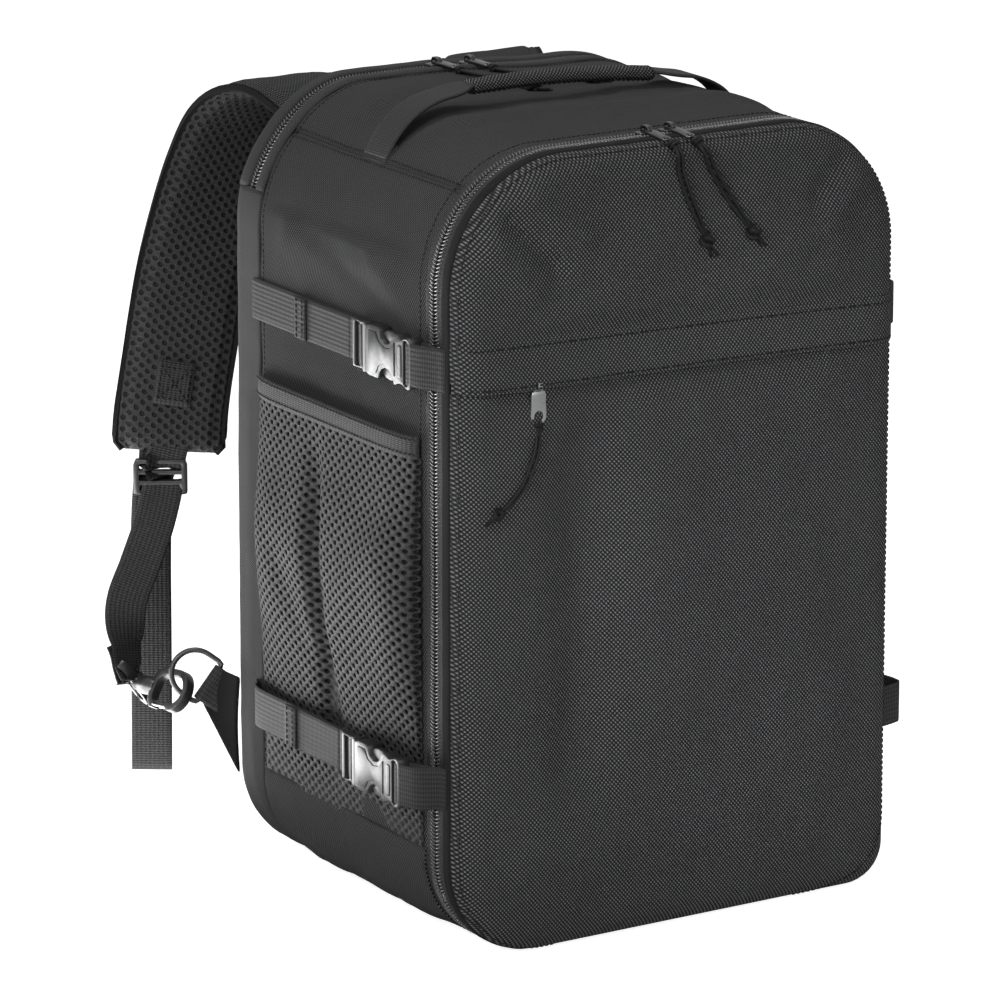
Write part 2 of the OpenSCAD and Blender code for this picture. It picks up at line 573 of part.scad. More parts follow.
left_side_panel();
right_side_panel();
top_panel();
bottom_panel();
rear_gusset();
back_panel();
back_pads();
frame_sheet();
divider();
base_board();
left_mesh_pocket();
right_mesh_pocket();
pocket_bindings();
main_zip_rear();
laptop_zip();
compression_straps();
shoulder_pads();
shoulder_webbing();
ladder_locks();
hook_eyes();
d_rings();
d_ring_tabs();
main_zip_front();
lid_gusset();
front_panel();
pocket_panel();
pocket_zip();
lid_lining();
buckle_sockets();
buckle_loops();
left_upper_frame();
right_upper_frame();
left_lower_frame();
right_lower_frame();
left_upper_prongs();
right_upper_prongs();
left_lower_prongs();
right_lower_prongs();
main_left_slider();
main_right_slider();
laptop_left_slider();
laptop_right_slider();
pocket_slider();
main_left_puller();
main_right_puller();
laptop_left_puller();
laptop_right_puller();
pocket_puller();
main_left_cord();
main_right_cord();
laptop_left_cord();
laptop_right_cord();
pocket_cord();
left_hook();
right_hook();
left_gate();
right_gate();
handle_grip();
handle_webbing();
zip_flap();
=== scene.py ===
import math

import bmesh
import bpy
import numpy as np
from mathutils import Matrix, Vector, noise


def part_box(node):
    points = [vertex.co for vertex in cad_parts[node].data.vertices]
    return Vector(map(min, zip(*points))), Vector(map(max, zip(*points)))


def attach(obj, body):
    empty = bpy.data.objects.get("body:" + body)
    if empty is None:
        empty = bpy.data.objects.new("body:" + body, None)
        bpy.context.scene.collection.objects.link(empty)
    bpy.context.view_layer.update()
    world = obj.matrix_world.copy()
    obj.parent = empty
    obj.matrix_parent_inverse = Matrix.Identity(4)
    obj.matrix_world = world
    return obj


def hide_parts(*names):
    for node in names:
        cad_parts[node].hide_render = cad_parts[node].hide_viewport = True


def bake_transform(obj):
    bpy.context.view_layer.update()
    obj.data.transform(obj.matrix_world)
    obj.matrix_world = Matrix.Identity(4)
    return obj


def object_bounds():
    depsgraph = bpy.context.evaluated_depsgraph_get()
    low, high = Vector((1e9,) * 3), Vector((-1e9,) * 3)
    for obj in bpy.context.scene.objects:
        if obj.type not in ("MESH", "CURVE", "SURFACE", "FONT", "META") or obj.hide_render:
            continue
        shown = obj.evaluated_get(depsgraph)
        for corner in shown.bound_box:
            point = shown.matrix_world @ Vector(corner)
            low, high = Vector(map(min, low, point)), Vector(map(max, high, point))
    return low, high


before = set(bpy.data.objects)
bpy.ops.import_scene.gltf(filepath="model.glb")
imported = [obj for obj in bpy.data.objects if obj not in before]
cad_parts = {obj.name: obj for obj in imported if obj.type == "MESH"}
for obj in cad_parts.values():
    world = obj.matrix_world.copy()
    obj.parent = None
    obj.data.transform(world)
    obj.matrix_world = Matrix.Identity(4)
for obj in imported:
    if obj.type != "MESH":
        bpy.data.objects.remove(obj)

bl_info = {
    "name": "Travel Backpack",
    "version": (1, 0, 0),
    "blender": (4, 5, 0),
    "location": "3D View > Sidebar > Backpack",
    "description": "Builds a clamshell travel backpack round its frame",
    "category": "Mesh",
}

MM = 0.001
CAD_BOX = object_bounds()


def span(node):
    """Lowest and highest corner of a frame node, in millimetres."""
    low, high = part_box(node)
    return low / MM, high / MM


# ---- stations of the bag, in millimetres, read from the frame ----
GUSSET_LOW, GUSSET_HIGH = span("lid_gusset")
BODY_W = GUSSET_HIGH.x - GUSSET_LOW.x
BODY_H = GUSSET_HIGH.z
HALF_W = BODY_W / 2
ZIP_Y = (span("main_zip_rear")[0].y + span("main_zip_front")[1].y) / 2
SEAM_Y = span("rear_gusset")[0].y
BACK_Y = span("back_panel")[1].y
FRONT_Y = span("front_panel")[0].y
LAPTOP_Y = (span("laptop_zip")[0].y + span("laptop_zip")[1].y) / 2
LAPTOP_LOW = span("laptop_zip")[0].z
BAND_Y = GUSSET_LOW.y
TAPE_Y = span("main_zip_rear")[1].y
TAPE_FRONT = span("main_zip_front")[0].y
TOP_R = 75
BASE_R = 58
FLAP_LOW, FLAP_HIGH = span("zip_flap")
ZIP_END = 85
WEB_W = 25
WEB_T = 1.4
SHELL_T = 1.6
MIDDLE = (0, 0, BODY_H / 2)
# Swaps a plate's own z with the bag's y.
UPRIGHT = Matrix(((1, 0, 0, 0), (0, 0, 1, 0), (0, 1, 0, 0), (0, 0, 0, 1)))


# ---- the outline of the bag, walked from the middle of the base up its left side ----
def _outline_segments():
    xt, zt = HALF_W - TOP_R, BODY_H - TOP_R
    xb = HALF_W - BASE_R
    return [
        ("line", (0, 0), (-xb, 0)),
        ("arc", (-xb, BASE_R), BASE_R, 270, 180),
        ("line", (-HALF_W, BASE_R), (-HALF_W, zt)),
        ("arc", (-xt, zt), TOP_R, 180, 90),
        ("line", (-xt, BODY_H), (xt, BODY_H)),
        ("arc", (xt, zt), TOP_R, 90, 0),
        ("line", (HALF_W, zt), (HALF_W, BASE_R)),
        ("arc", (xb, BASE_R), BASE_R, 0, -90),
        ("line", (xb, 0), (0, 0)),
    ]


def _length(seg):
    if seg[0] == "line":
        return math.dist(seg[1], seg[2])
    return seg[2] * math.radians(abs(seg[4] - seg[3]))


SEGMENTS = _outline_segments()
LENGTHS = [_length(s) for s in SEGMENTS]
STARTS = [sum(LENGTHS[:i]) for i in range(len(LENGTHS))]
AROUND = sum(LENGTHS)


def rim(s):
    """Point (x, z) and outward normal (nx, nz) at the distance s along the outline."""
    s = s % AROUND
    i = max(k for k in range(len(STARTS)) if STARTS[k] <= s + 1e-9)
    seg, t = SEGMENTS[i], min((s - STARTS[i]) / LENGTHS[i], 1)
    if seg[0] == "line":
        (x0, z0), (x1, z1) = seg[1], seg[2]
        d = math.dist(seg[1], seg[2])
        return x0 + (x1 - x0) * t, z0 + (z1 - z0) * t, -(z1 - z0) / d, (x1 - x0) / d
    a = math.radians(seg[3] + (seg[4] - seg[3]) * t)
    return seg[1][0] + seg[2] * math.cos(a), seg[1][1] + seg[2] * math.sin(a), math.cos(a), math.sin(a)


def side_s(z):
    """Distance along the outline of the height z on the straight left side."""
    return STARTS[2] + z - BASE_R


S_BASE_SEAM = STARTS[1] + LENGTHS[1] / 2
S_TOP_SEAM = STARTS[3] + TOP_R * math.radians(47)
GRIP_Y = (span("handle_grip")[0].y + span("handle_grip")[1].y) / 2


def hand(side):
    return "left" if side < 0 else "right"


def smooth(t):
    t = min(max(t, 0), 1)
    return t * t * (3 - 2 * t)


def ridge(p, a, b, width):
    """1 on the line from a to b, falling to 0 at about twice the width; fades at the line's ends."""
    ax, ay = a
    dx, dy = b[0] - ax, b[1] - ay
    length = math.hypot(dx, dy)
    t = ((p[0] - ax) * dx + (p[1] - ay) * dy) / (length * length)
    c = min(max(t, 0), 1)
    away = math.hypot(p[0] - ax - dx * c, p[1] - ay - dy * c)
    fade = smooth(min(t + 0.15, 1.15 - t) / 0.3)
    return math.exp(-((away / width) ** 2)) * fade


def fold_noise(x, y, z, size, seed):
    return noise.noise(Vector((x / size + seed, y / size, z / size - seed)))


# ---- meshes ----
def new_object(name, verts, faces, uvs=None, material=None):
    """An object from millimetre points; uvs are per vertex, in millimetres along the cloth."""
    mesh = bpy.data.meshes.new(name)
    mesh.from_pydata([(v[0] * MM, v[1] * MM, v[2] * MM) for v in verts], [], faces)
    if uvs is not None:
        layer = mesh.uv_layers.new(name="cloth")
        index = np.empty(len(mesh.loops), np.int32)
        mesh.loops.foreach_get("vertex_index", index)
        layer.data.foreach_set("uv", (np.array(uvs, float)[index] * MM).ravel())
    mesh.shade_smooth()
    obj = bpy.data.objects.new(name, mesh)
    bpy.context.scene.collection.objects.link(obj)
    if material:
        mesh.materials.append(material)
    return obj


def grid(name, fn, us, vs, material=None, closed=False):
    """A sheet of quads through fn(u, v) for every u in us and v in vs."""
    verts = [fn(u, v) for u in us for v in vs]
    n = len(vs)
    rows = len(us)
    faces = [
        (i % rows * n + j, i % rows * n + j + 1, (i + 1) % rows * n + j + 1, (i + 1) % rows * n + j)
        for i in range(rows if closed else rows - 1)
        for j in range(n - 1)
    ]
    return new_object(name, verts, faces, [(u, v) for u in us for v in vs], material)


def steps(a, b, size):
    n = max(int(round(abs(b - a) / size)), 1)
    return [a + (b - a) * i / n for i in range(n + 1)]


def faces_outward(obj, merge=0.0, fill=False):
    """Merges doubles within the distance, fills open ends if asked and turns the faces outwards."""
    bm = bmesh.new()
    bm.from_mesh(obj.data)
    if merge:
        bmesh.ops.remove_doubles(bm, verts=bm.verts, dist=merge)
    if fill:
        bmesh.ops.holes_fill(bm, edges=[e for e in bm.edges if e.is_boundary], sides=0)
    bmesh.ops.recalc_face_normals(bm, faces=bm.faces)
    bm.to_mesh(obj.data)
    bm.free()
    return obj


def outward(obj, merge=1e-6, fill=False):
    faces_outward(obj, merge, fill)
    obj.data.shade_smooth()
    return obj


def lay_uv(obj, place):
    """Lays the weave by each corner's place, which place(co) turns into (u, v)."""
    for loop, uv in zip(obj.data.loops, obj.data.uv_layers["cloth"].data):
        uv.uv = place(obj.data.vertices[loop.vertex_index].co)


def point_away(obj, centre):
    """Turns an open sheet so that its faces look away from the centre."""
    c = Vector(centre) * MM
    total = sum((p.center - c).dot(p.normal) * p.area for p in obj.data.polygons)
    if total < 0:
        obj.data.flip_normals()
    return obj


def thicken(obj, thickness, offset=-1, levels=1):
    solid = obj.modifiers.new("thickness", "SOLIDIFY")
    solid.thickness = thickness * MM
    solid.offset = offset
    solid.use_even_offset = False
    if levels:
        round_off(obj, levels)
    return obj


def cloth_sheet(name, at, us, vs, key, centre, thickness, offset=-1, levels=0):
    """A baked sheet through at(u, v) that looks away from the centre."""
    obj = point_away(grid(name, at, us, vs, material(key)), centre)
    return baked(thicken(obj, thickness, offset, levels))


def round_off(obj, levels=1):
    sub = obj.modifiers.new("round", "SUBSURF")
    sub.levels = levels
    sub.render_levels = levels
    return obj


def baked(obj):
    """Replaces the object's mesh by its evaluated one and drops the modifiers."""
    deps = bpy.context.evaluated_depsgraph_get()
    mesh = bpy.data.meshes.new_from_object(
        obj.evaluated_get(deps), preserve_all_data_layers=True, depsgraph=deps
    )
    obj.modifiers.clear()
    obj.data = mesh
    return obj


def joined(objs, name):
    """Several objects as one."""
    objs = [o for o in objs if o]
    bpy.ops.object.select_all(action="DESELECT")
    for o in objs:
        o.select_set(True)
    bpy.context.view_layer.objects.active = objs[0]
    if len(objs) > 1:
        bpy.ops.object.join()
    objs[0].name = name
    objs[0].data.name = name
    return objs[0]


def mirrored(obj, name=None):
    """A copy on the other side of the plane x = 0, with its faces outwards."""
    copy = bpy.data.objects.new(name or obj.name + "_right", obj.data.copy())
    bpy.context.scene.collection.objects.link(copy)
    copy.data.transform(Matrix.Scale(-1, 4, (1, 0, 0)))
    copy.data.flip_normals()
    for m in obj.modifiers:
        other = copy.modifiers.new(m.name, m.type)
        for p in m.bl_rna.properties:
            if not p.is_readonly and p.identifier not in ("name", "type"):
                setattr(other, p.identifier, getattr(m, p.identifier))
    return copy


def finish_piece(obj, body, slot, *nodes):
    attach(obj, body)
    if nodes:
        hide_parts(*nodes)
    return obj


# ---- paths and sweeps ----
def resample(points, size):
    """A smooth path (Catmull-Rom) through the points, in steps of about the given size."""
    p = [Vector(q) for q in points]
    p = [2 * p[0] - p[1]] + p + [2 * p[-1] - p[-2]]
    out = []
    for i in range(1, len(p) - 2):
        n = max(int((p[i + 1] - p[i]).length / size), 1)
        for k in range(n):
            t = k / n
            out.append(
                0.5
                * (
                    2 * p[i]
                    + (p[i + 1] - p[i - 1]) * t
                    + (2 * p[i - 1] - 5 * p[i] + 4 * p[i + 1] - p[i + 2]) * t * t
                    + (3 * p[i] - p[i - 1] - 3 * p[i + 1] + p[i + 2]) * t * t * t
                )
            )
    out.append(p[-2])
    return out


def frames_along(path, across):
    """(point, across, normal, distance) at each point; across is one direction or one per point."""
    many = hasattr(across[0], "__len__")
    out, run = [], 0
    for i, q in enumerate(path):
        t = (path[min(i + 1, len(path) - 1)] - path[max(i - 1, 0)]).normalized()
        if many:
            f = i / max(len(path) - 1, 1) * (len(across) - 1)
            k = min(int(f), len(across) - 2)
            a = Vector(across[k]).lerp(Vector(across[k + 1]), f - k)
        else:
            a = Vector(across)
        n = t.cross(a).normalized()
        out.append((q, n.cross(t), n, run))
        if i + 1 < len(path):
            run += (path[i + 1] - q).length
    return out


def sweep(name, path, across, section, material, caps=True):
    """Carries a closed section [(u, n)] along the path."""
    verts, uvs, faces = [], [], []
    n = len(section)
    girth = [0]
    for k in range(n):
        girth.append(girth[-1] + math.dist(section[k], section[(k + 1) % n]))
    frames = frames_along(path, across)
    for q, a, m, run in frames:
        for k, (u, w) in enumerate(section):
            verts.append(q + a * u + m * w)
            uvs.append((u if abs(girth[-1]) > 12 else girth[k], run))
    for i in range(len(frames) - 1):
        for k in range(n):
            j = (k + 1) % n
            faces.append((i * n + k, i * n + j, (i + 1) * n + j, (i + 1) * n + k))
    if caps:
        faces.append(tuple(range(n - 1, -1, -1)))
        faces.append(tuple((len(frames) - 1) * n + k for k in range(n)))
    return outward(new_object(name, verts, faces, uvs, material), 0)


def tape_section(w, t):
    """A flat band with rounded edges."""
    h, r = w / 2, t / 2
    half = [(h - r * (1 - math.cos(a)), r * math.sin(a)) for a in (-1.2, 0, 1.2)]
    top = [(h * f, r) for f in (0.8, 0.4, 0, -0.4, -0.8)]
    return half + top + [(-u, -v) for u, v in half] + [(-u, -v) for u, v in top]


def round_section(d, n=10):
    return [(d / 2 * math.cos(2 * math.pi * k / n), d / 2 * math.sin(2 * math.pi * k / n)) for k in range(n)]


def strap(name, points, across, width=WEB_W, thick=WEB_T, size=3, key="webbing"):
    return sweep(name, resample(points, size), across, tape_section(width, thick), material(key))


def tube(name, points, d, key, size=1.5, sides=10):
    return sweep(name, resample(points, size), (0.31, 0.17, 0.93), round_section(d, sides), material(key))


def loft(name, sections, key, levels=1):
    """Skins closed rings of points, each ring a list of the same length, and caps both ends."""
    n = len(sections[0])
    verts = [p for ring in sections for p in ring]
    faces = [
        (i * n + k, i * n + (k + 1) % n, (i + 1) * n + (k + 1) % n, (i + 1) * n + k)
        for i in range(len(sections) - 1)
        for k in range(n)
    ]
    faces += [tuple(range(n - 1, -1, -1)), tuple((len(sections) - 1) * n + k for k in range(n))]
    obj = new_object(name, verts, faces, None, material(key))
    outward(obj)
    if levels:
        round_off(obj, levels)
    return obj


def plate(name, outline, z0, z1, key, holes=(), bevel=0.5):
    """A flat plate from an outline in xy with optional holes, with rounded edges."""
    bm = bmesh.new()
    rings = [outline] + list(holes)
    edges = []
    for ring in rings:
        vs = [bm.verts.new((x, y, z0)) for x, y in ring]
        edges += [bm.edges.new((vs[i], vs[(i + 1) % len(vs)])) for i in range(len(vs))]
    bmesh.ops.triangle_fill(bm, use_beauty=True, use_dissolve=False, edges=edges)
    made = bmesh.ops.extrude_face_region(bm, geom=list(bm.faces))
    bmesh.ops.translate(
        bm, verts=[v for v in made["geom"] if isinstance(v, bmesh.types.BMVert)], vec=(0, 0, z1 - z0)
    )
    bmesh.ops.recalc_face_normals(bm, faces=bm.faces)
    for v in bm.verts:
        v.co *= MM
    mesh = bpy.data.meshes.new(name)
    bm.to_mesh(mesh)
    bm.free()
    mesh.materials.append(material(key))
    obj = bpy.data.objects.new(name, mesh)
    bpy.context.scene.collection.objects.link(obj)
    if bevel:
        b = obj.modifiers.new("edges", "BEVEL")
        b.width = bevel * MM
        b.segments = 2
        b.limit_method = "ANGLE"
        b.angle_limit = math.radians(50)
        baked(obj)
    for p in obj.data.polygons:
        p.use_smooth = abs(p.normal.z) < 0.999
    obj.data.set_sharp_from_angle(angle=math.radians(40))
    return obj


def placed(obj, matrix):
    """Moves the mesh itself, so that the object stays at the origin."""
    m = matrix.copy()
    m.translation = m.translation * MM
    obj.data.transform(m)
    if m.determinant() < 0:
        obj.data.flip_normals()
    return obj


def arc_points(cx, cy, r, a0, a1, n):
    return [
        (
            cx + r * math.cos(math.radians(a0 + (a1 - a0) * i / n)),
            cy + r * math.sin(math.radians(a0 + (a1 - a0) * i / n))
        )
        for i in range(n + 1)
    ]


def round_rect(x0, x1, y0, y1, r, n=4):
    return (
        arc_points(x1 - r, y1 - r, r, 0, 90, n)
        + arc_points(x0 + r, y1 - r, r, 90, 180, n)
        + arc_points(x0 + r, y0 + r, r, 180, 270, n)
        + arc_points(x1 - r, y0 + r, r, 270, 360, n)
    )


def cut(obj, *tools):
    """Takes the tools away from the object."""
    for tool in tools:
        b = obj.modifiers.new("cut", "BOOLEAN")
        b.operation = "DIFFERENCE"
        b.solver = "EXACT"
        b.object = tool
        bpy.context.view_layer.update()
        baked(obj)
        bpy.data.objects.remove(tool)
    return obj


# ---- settings shown in the panel ----
class BackpackShape(bpy.types.PropertyGroup):
    """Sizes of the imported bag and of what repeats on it"""

    top_bulge: bpy.props.FloatProperty(
        name="Top bulge", description="Rise of the packed top",
        default=0.0025, min=0, max=0.012, precision=4, subtype="DISTANCE", unit="LENGTH",
    )
    side_bulge: bpy.props.FloatProperty(
        name="Side bulge", description="Rise of the packed sides",
        default=0.004, min=0, max=0.008, precision=4, subtype="DISTANCE", unit="LENGTH",
    )
    front_bulge: bpy.props.FloatProperty(
        name="Front bulge", description="Rise of the lid",
        default=0.007, min=0, max=0.012, precision=4, subtype="DISTANCE", unit="LENGTH",
    )
    tooth_pitch: bpy.props.FloatProperty(
        name="Tooth pitch", description="Spacing of the zip teeth",
        default=0.0022, min=0.0015, max=0.004, precision=4, subtype="DISTANCE", unit="LENGTH",
    )
    hole_pitch: bpy.props.FloatProperty(
        name="Mesh pitch", description="Spacing of the side pockets' holes",
        default=0.0051, min=0.0035, max=0.009, precision=4, subtype="DISTANCE", unit="LENGTH",
    )
    stitch_pitch: bpy.props.FloatProperty(
        name="Stitch pitch", description="Spacing of the stitches",
        default=0.0034, min=0.002, max=0.006, precision=4, subtype="DISTANCE", unit="LENGTH",
    )


class BackpackFinish(bpy.types.PropertyGroup):
    """Colours of the bag's materials"""

    cloth: bpy.props.FloatVectorProperty(
        name="Cloth", description="Body fabric", default=(0.04, 0.04, 0.041), min=0, max=1, size=3, subtype="COLOR",
    )
    trim: bpy.props.FloatVectorProperty(
        name="Trim", description="Bindings", default=(0.03, 0.03, 0.03), min=0, max=1, size=3, subtype="COLOR",
    )
    webbing: bpy.props.FloatVectorProperty(
        name="Webbing", description="Straps", default=(0.02, 0.02, 0.0195), min=0, max=1, size=3, subtype="COLOR",
    )
    mesh: bpy.props.FloatVectorProperty(
        name="Mesh", description="Spacer mesh", default=(0.028, 0.028, 0.0275), min=0, max=1, size=3, subtype="COLOR",
    )
    plastic: bpy.props.FloatVectorProperty(
        name="Plastic", description="Buckles and hooks", default=(0.02, 0.02, 0.0205), min=0, max=1, size=3, subtype="COLOR",
    )


def shape(name):
    """A size from the panel, in millimetres."""
    return getattr(bpy.context.scene.backpack_shape, name) / MM


# ---- materials ----
class Recipe:
    """A material whose nodes are added one at a time."""

    def __init__(self, name, colour, roughness, **sockets):
        self.mat = bpy.data.materials.new(name)
        self.mat.use_nodes = True
        self.tree = self.mat.node_tree
        self.shader = self.tree.nodes["Principled BSDF"]
        self.shader.inputs["Base Color"].default_value = (*colour, 1)
        self.shader.inputs["Roughness"].default_value = roughness
        self.colour = colour
        for key, value in sockets.items():
            self.shader.inputs[key].default_value = value

    def node(self, kind, **inputs):
        n = self.tree.nodes.new(kind)
        for key, value in inputs.items():
            self.feed(n.inputs[key], value)
        return n

    def feed(self, socket, value):
        if isinstance(value, bpy.types.NodeSocket):
            self.tree.links.new(value, socket)
        else:
            socket.default_value = value

    def math(self, op, a, b=0.0, c=0.0):
        n = self.tree.nodes.new("ShaderNodeMath")
        n.operation = op
        for socket, value in zip(n.inputs, (a, b, c)):
            self.feed(socket, value)
        return n.outputs[0]

    def cloth_uv(self):
        uv = self.tree.nodes.new("ShaderNodeUVMap")
        uv.uv_map = "cloth"
        parts = self.node("ShaderNodeSeparateXYZ", Vector=uv.outputs[0])
        return parts.outputs[0], parts.outputs[1]

    def wave(self, value, pitch):
        """A ridge every pitch millimetres, from 0 to 1."""
        turn = self.math("MULTIPLY", value, 2 * math.pi / (pitch * MM))
        return self.math("MULTIPLY_ADD", self.math("SINE", turn), 0.5, 0.5)

    def tilted(self, u, v, degrees):
        a = math.radians(degrees)
        return self.math("MULTIPLY_ADD", u, math.cos(a), self.math("MULTIPLY", v, math.sin(a)))

    def grain(self, scale, detail=2.0):
        place = self.tree.nodes.new("ShaderNodeTexCoord")
        n = self.node("ShaderNodeTexNoise", Vector=place.outputs["Object"], Scale=scale, Detail=detail)
        return n.outputs["Fac"]

    def tint(self, height, low, high, uneven=0.25):
        """Colour from low to high times the base with the height, with slow uneven patches; where the height is a
        weave's relief this is painted light, a painted highlight on the raised yarns and painted shade in the hollows
        between them.
        """
        patch = self.math("MULTIPLY_ADD", self.grain(9.0), uneven, 1 - uneven / 2)
        value = self.math("MULTIPLY", self.math("MULTIPLY_ADD", height, high - low, low), patch)
        mix = self.tree.nodes.new("ShaderNodeVectorMath")
        mix.operation = "SCALE"
        mix.inputs[0].default_value = self.colour
        self.feed(mix.inputs["Scale"], value)
        self.feed(self.shader.inputs["Base Color"], mix.outputs[0])

    def bump(self, height, strength, distance):
        b = self.node("ShaderNodeBump", Height=height, Strength=strength, Distance=distance * MM)
        self.feed(self.shader.inputs["Normal"], b.outputs[0])
        return self.mat


def twill(name, colour, pitch=1.45, angle=58, contrast=(0.15, 3.6), cross=68, float_depth=0.55):
    """Diagonal ribs broken into short floats by the cross threads."""
    r = Recipe(name, colour, 0.8, **{"Specular IOR Level": 0.12})
    u, v = r.cloth_uv()
    rib = r.wave(r.tilted(u, v, angle), pitch)
    thread = r.wave(r.tilted(u, v, angle + cross), pitch * 1.1)
    height = r.math("MULTIPLY", rib, r.math("MULTIPLY_ADD", thread, float_depth, 1 - float_depth))
    height = r.math("MULTIPLY_ADD", r.grain(1500.0), 0.25, r.math("MULTIPLY", height, 0.9))
    # Painted light: the rib height scales the colour, a painted highlight on the floats and painted shade between
    # them.
    r.tint(r.math("POWER", height, 1.6), *contrast)
    return r.bump(height, 0.9, 0.5)


def herringbone(name, colour, pitch=1.5, band=13.0):
    """Ribs that turn back at every half band."""
    r = Recipe(name, colour, 0.75, **{"Specular IOR Level": 0.25})
    u, v = r.cloth_uv()
    across = r.math(
        "ABSOLUTE", r.math("SUBTRACT", r.math("MODULO", r.math("ADD", v, 1.0), band * MM), band / 2 * MM)
    )
    height = r.wave(r.math("ADD", u, across), pitch)
    height = r.math("MULTIPLY_ADD", r.grain(1600.0), 0.3, r.math("MULTIPLY", height, 0.8))
    # Painted light: the rib height scales the colour, a painted highlight on the ribs and painted shade between them.
    r.tint(height, 0.1, 2.3)
    return r.bump(height, 0.6, 0.35)


def ribbed(name, colour, rib=1.5, column=2.7):
    """Webbing: fine ribs across the band and cords along it."""
    r = Recipe(name, colour, 0.65, **{"Specular IOR Level": 0.3})
    u, v = r.cloth_uv()
    height = r.math("MULTIPLY", r.wave(v, rib), 0.55)
    height = r.math("MULTIPLY_ADD", r.wave(u, column), 0.45, height)
    height = r.math("MULTIPLY_ADD", r.grain(1900.0), 0.25, height)
    # Painted light: the rib height scales the colour, a painted highlight on the ribs and cords and painted shade
    # between them.
    r.tint(height, 0.15, 2.0)
    return r.bump(height, 0.8, 0.45)


def yarn(name, colour, pitch=0.9):
    """Knitted or braided yarn."""
    r = Recipe(name, colour, 0.6, **{"Specular IOR Level": 0.3})
    u, v = r.cloth_uv()
    height = r.math("MULTIPLY", r.wave(r.tilted(u, v, 35), pitch), r.wave(r.tilted(u, v, -35), pitch))
    height = r.math("MULTIPLY_ADD", r.grain(2200.0), 0.5, height)
    # Painted light: the yarn height scales the colour, a painted highlight on the yarns and painted shade between
    # them.
    r.tint(height, 0.5, 1.6)
    return r.bump(height, 0.7, 0.4)


def perforated(name, colour, pitch=5.1):
    """Spacer mesh with staggered oval holes; the holes are painted near-black as painted shade in the pits between
    the yarns.
    """
    r = Recipe(name, colour, 0.7, **{"Specular IOR Level": 0.25})
    u, v = r.cloth_uv()
    wide, tall = pitch * 0.75, pitch * 1.22
    row = r.math("MULTIPLY", u, 1 / (wide * MM))
    line = r.math("MULTIPLY", v, 1 / (tall * MM))
    odd = r.math("MULTIPLY", r.math("FLOORED_MODULO", r.math("FLOOR", row), 2.0), 0.5)
    du = r.math("MULTIPLY", r.math("SUBTRACT", r.math("FRACT", row), 0.5), wide)
    dv = r.math("MULTIPLY", r.math("SUBTRACT", r.math("FRACT", r.math("ADD", line, odd)), 0.5), tall)
    far = r.math("SQRT", r.math("ADD", r.math("MULTIPLY", du, du), r.math("MULTIPLY", dv, dv)))
    edge = r.math("MULTIPLY", r.math("SUBTRACT", far, 1.05), 1.3)
    edge = r.math("MINIMUM", r.math("MAXIMUM", edge, 0.0), 1.0)
    height = r.math(
        "MULTIPLY_ADD", r.math("MULTIPLY", r.grain(2000.0), edge), 0.4, r.math("MULTIPLY", edge, 0.75)
    )
    # Painted shade: the holes get nearly black colour, and the yarns round them a painted highlight.
    r.tint(height, 0.04, 1.5)
    return r.bump(height, 1.0, 1.2)


def moulded(name, colour, roughness=0.36):
    """Satin acetal with a faint grain and worn, paler handling marks."""
    r = Recipe(name, colour, roughness, **{"Specular IOR Level": 0.8})
    height = r.math("MULTIPLY_ADD", r.grain(2600.0), 0.6, r.math("MULTIPLY", r.grain(300.0), 0.4))
    r.tint(height, 0.8, 1.25, 0.3)
    r.feed(r.shader.inputs["Roughness"], r.math("MULTIPLY_ADD", r.grain(420.0), 0.22, roughness - 0.1))
    return r.bump(height, 0.12, 0.12)


def metal(name, colour, roughness, metallic):
    r = Recipe(name, colour, roughness, Metallic=metallic, **{"Specular IOR Level": 0.6})
    height = r.grain(900.0, 4.0)
    r.tint(height, 0.8, 1.2, 0.2)
    r.feed(r.shader.inputs["Roughness"], r.math("MULTIPLY_ADD", r.grain(250.0), 0.2, roughness - 0.08))
    return r.bump(height, 0.08, 0.1)


def nylon(name, colour):
    """Zip filament: smooth and glossy, with the coil's own slight unevenness."""
    r = Recipe(name, colour, 0.22, **{"Specular IOR Level": 0.7, "Coat Weight": 0.3, "Coat Roughness": 0.15})
    height = r.grain(1200.0)
    r.tint(height, 0.7, 1.4)
    return r.bump(height, 0.1, 0.1)


def finish():
    return bpy.context.scene.backpack_finish


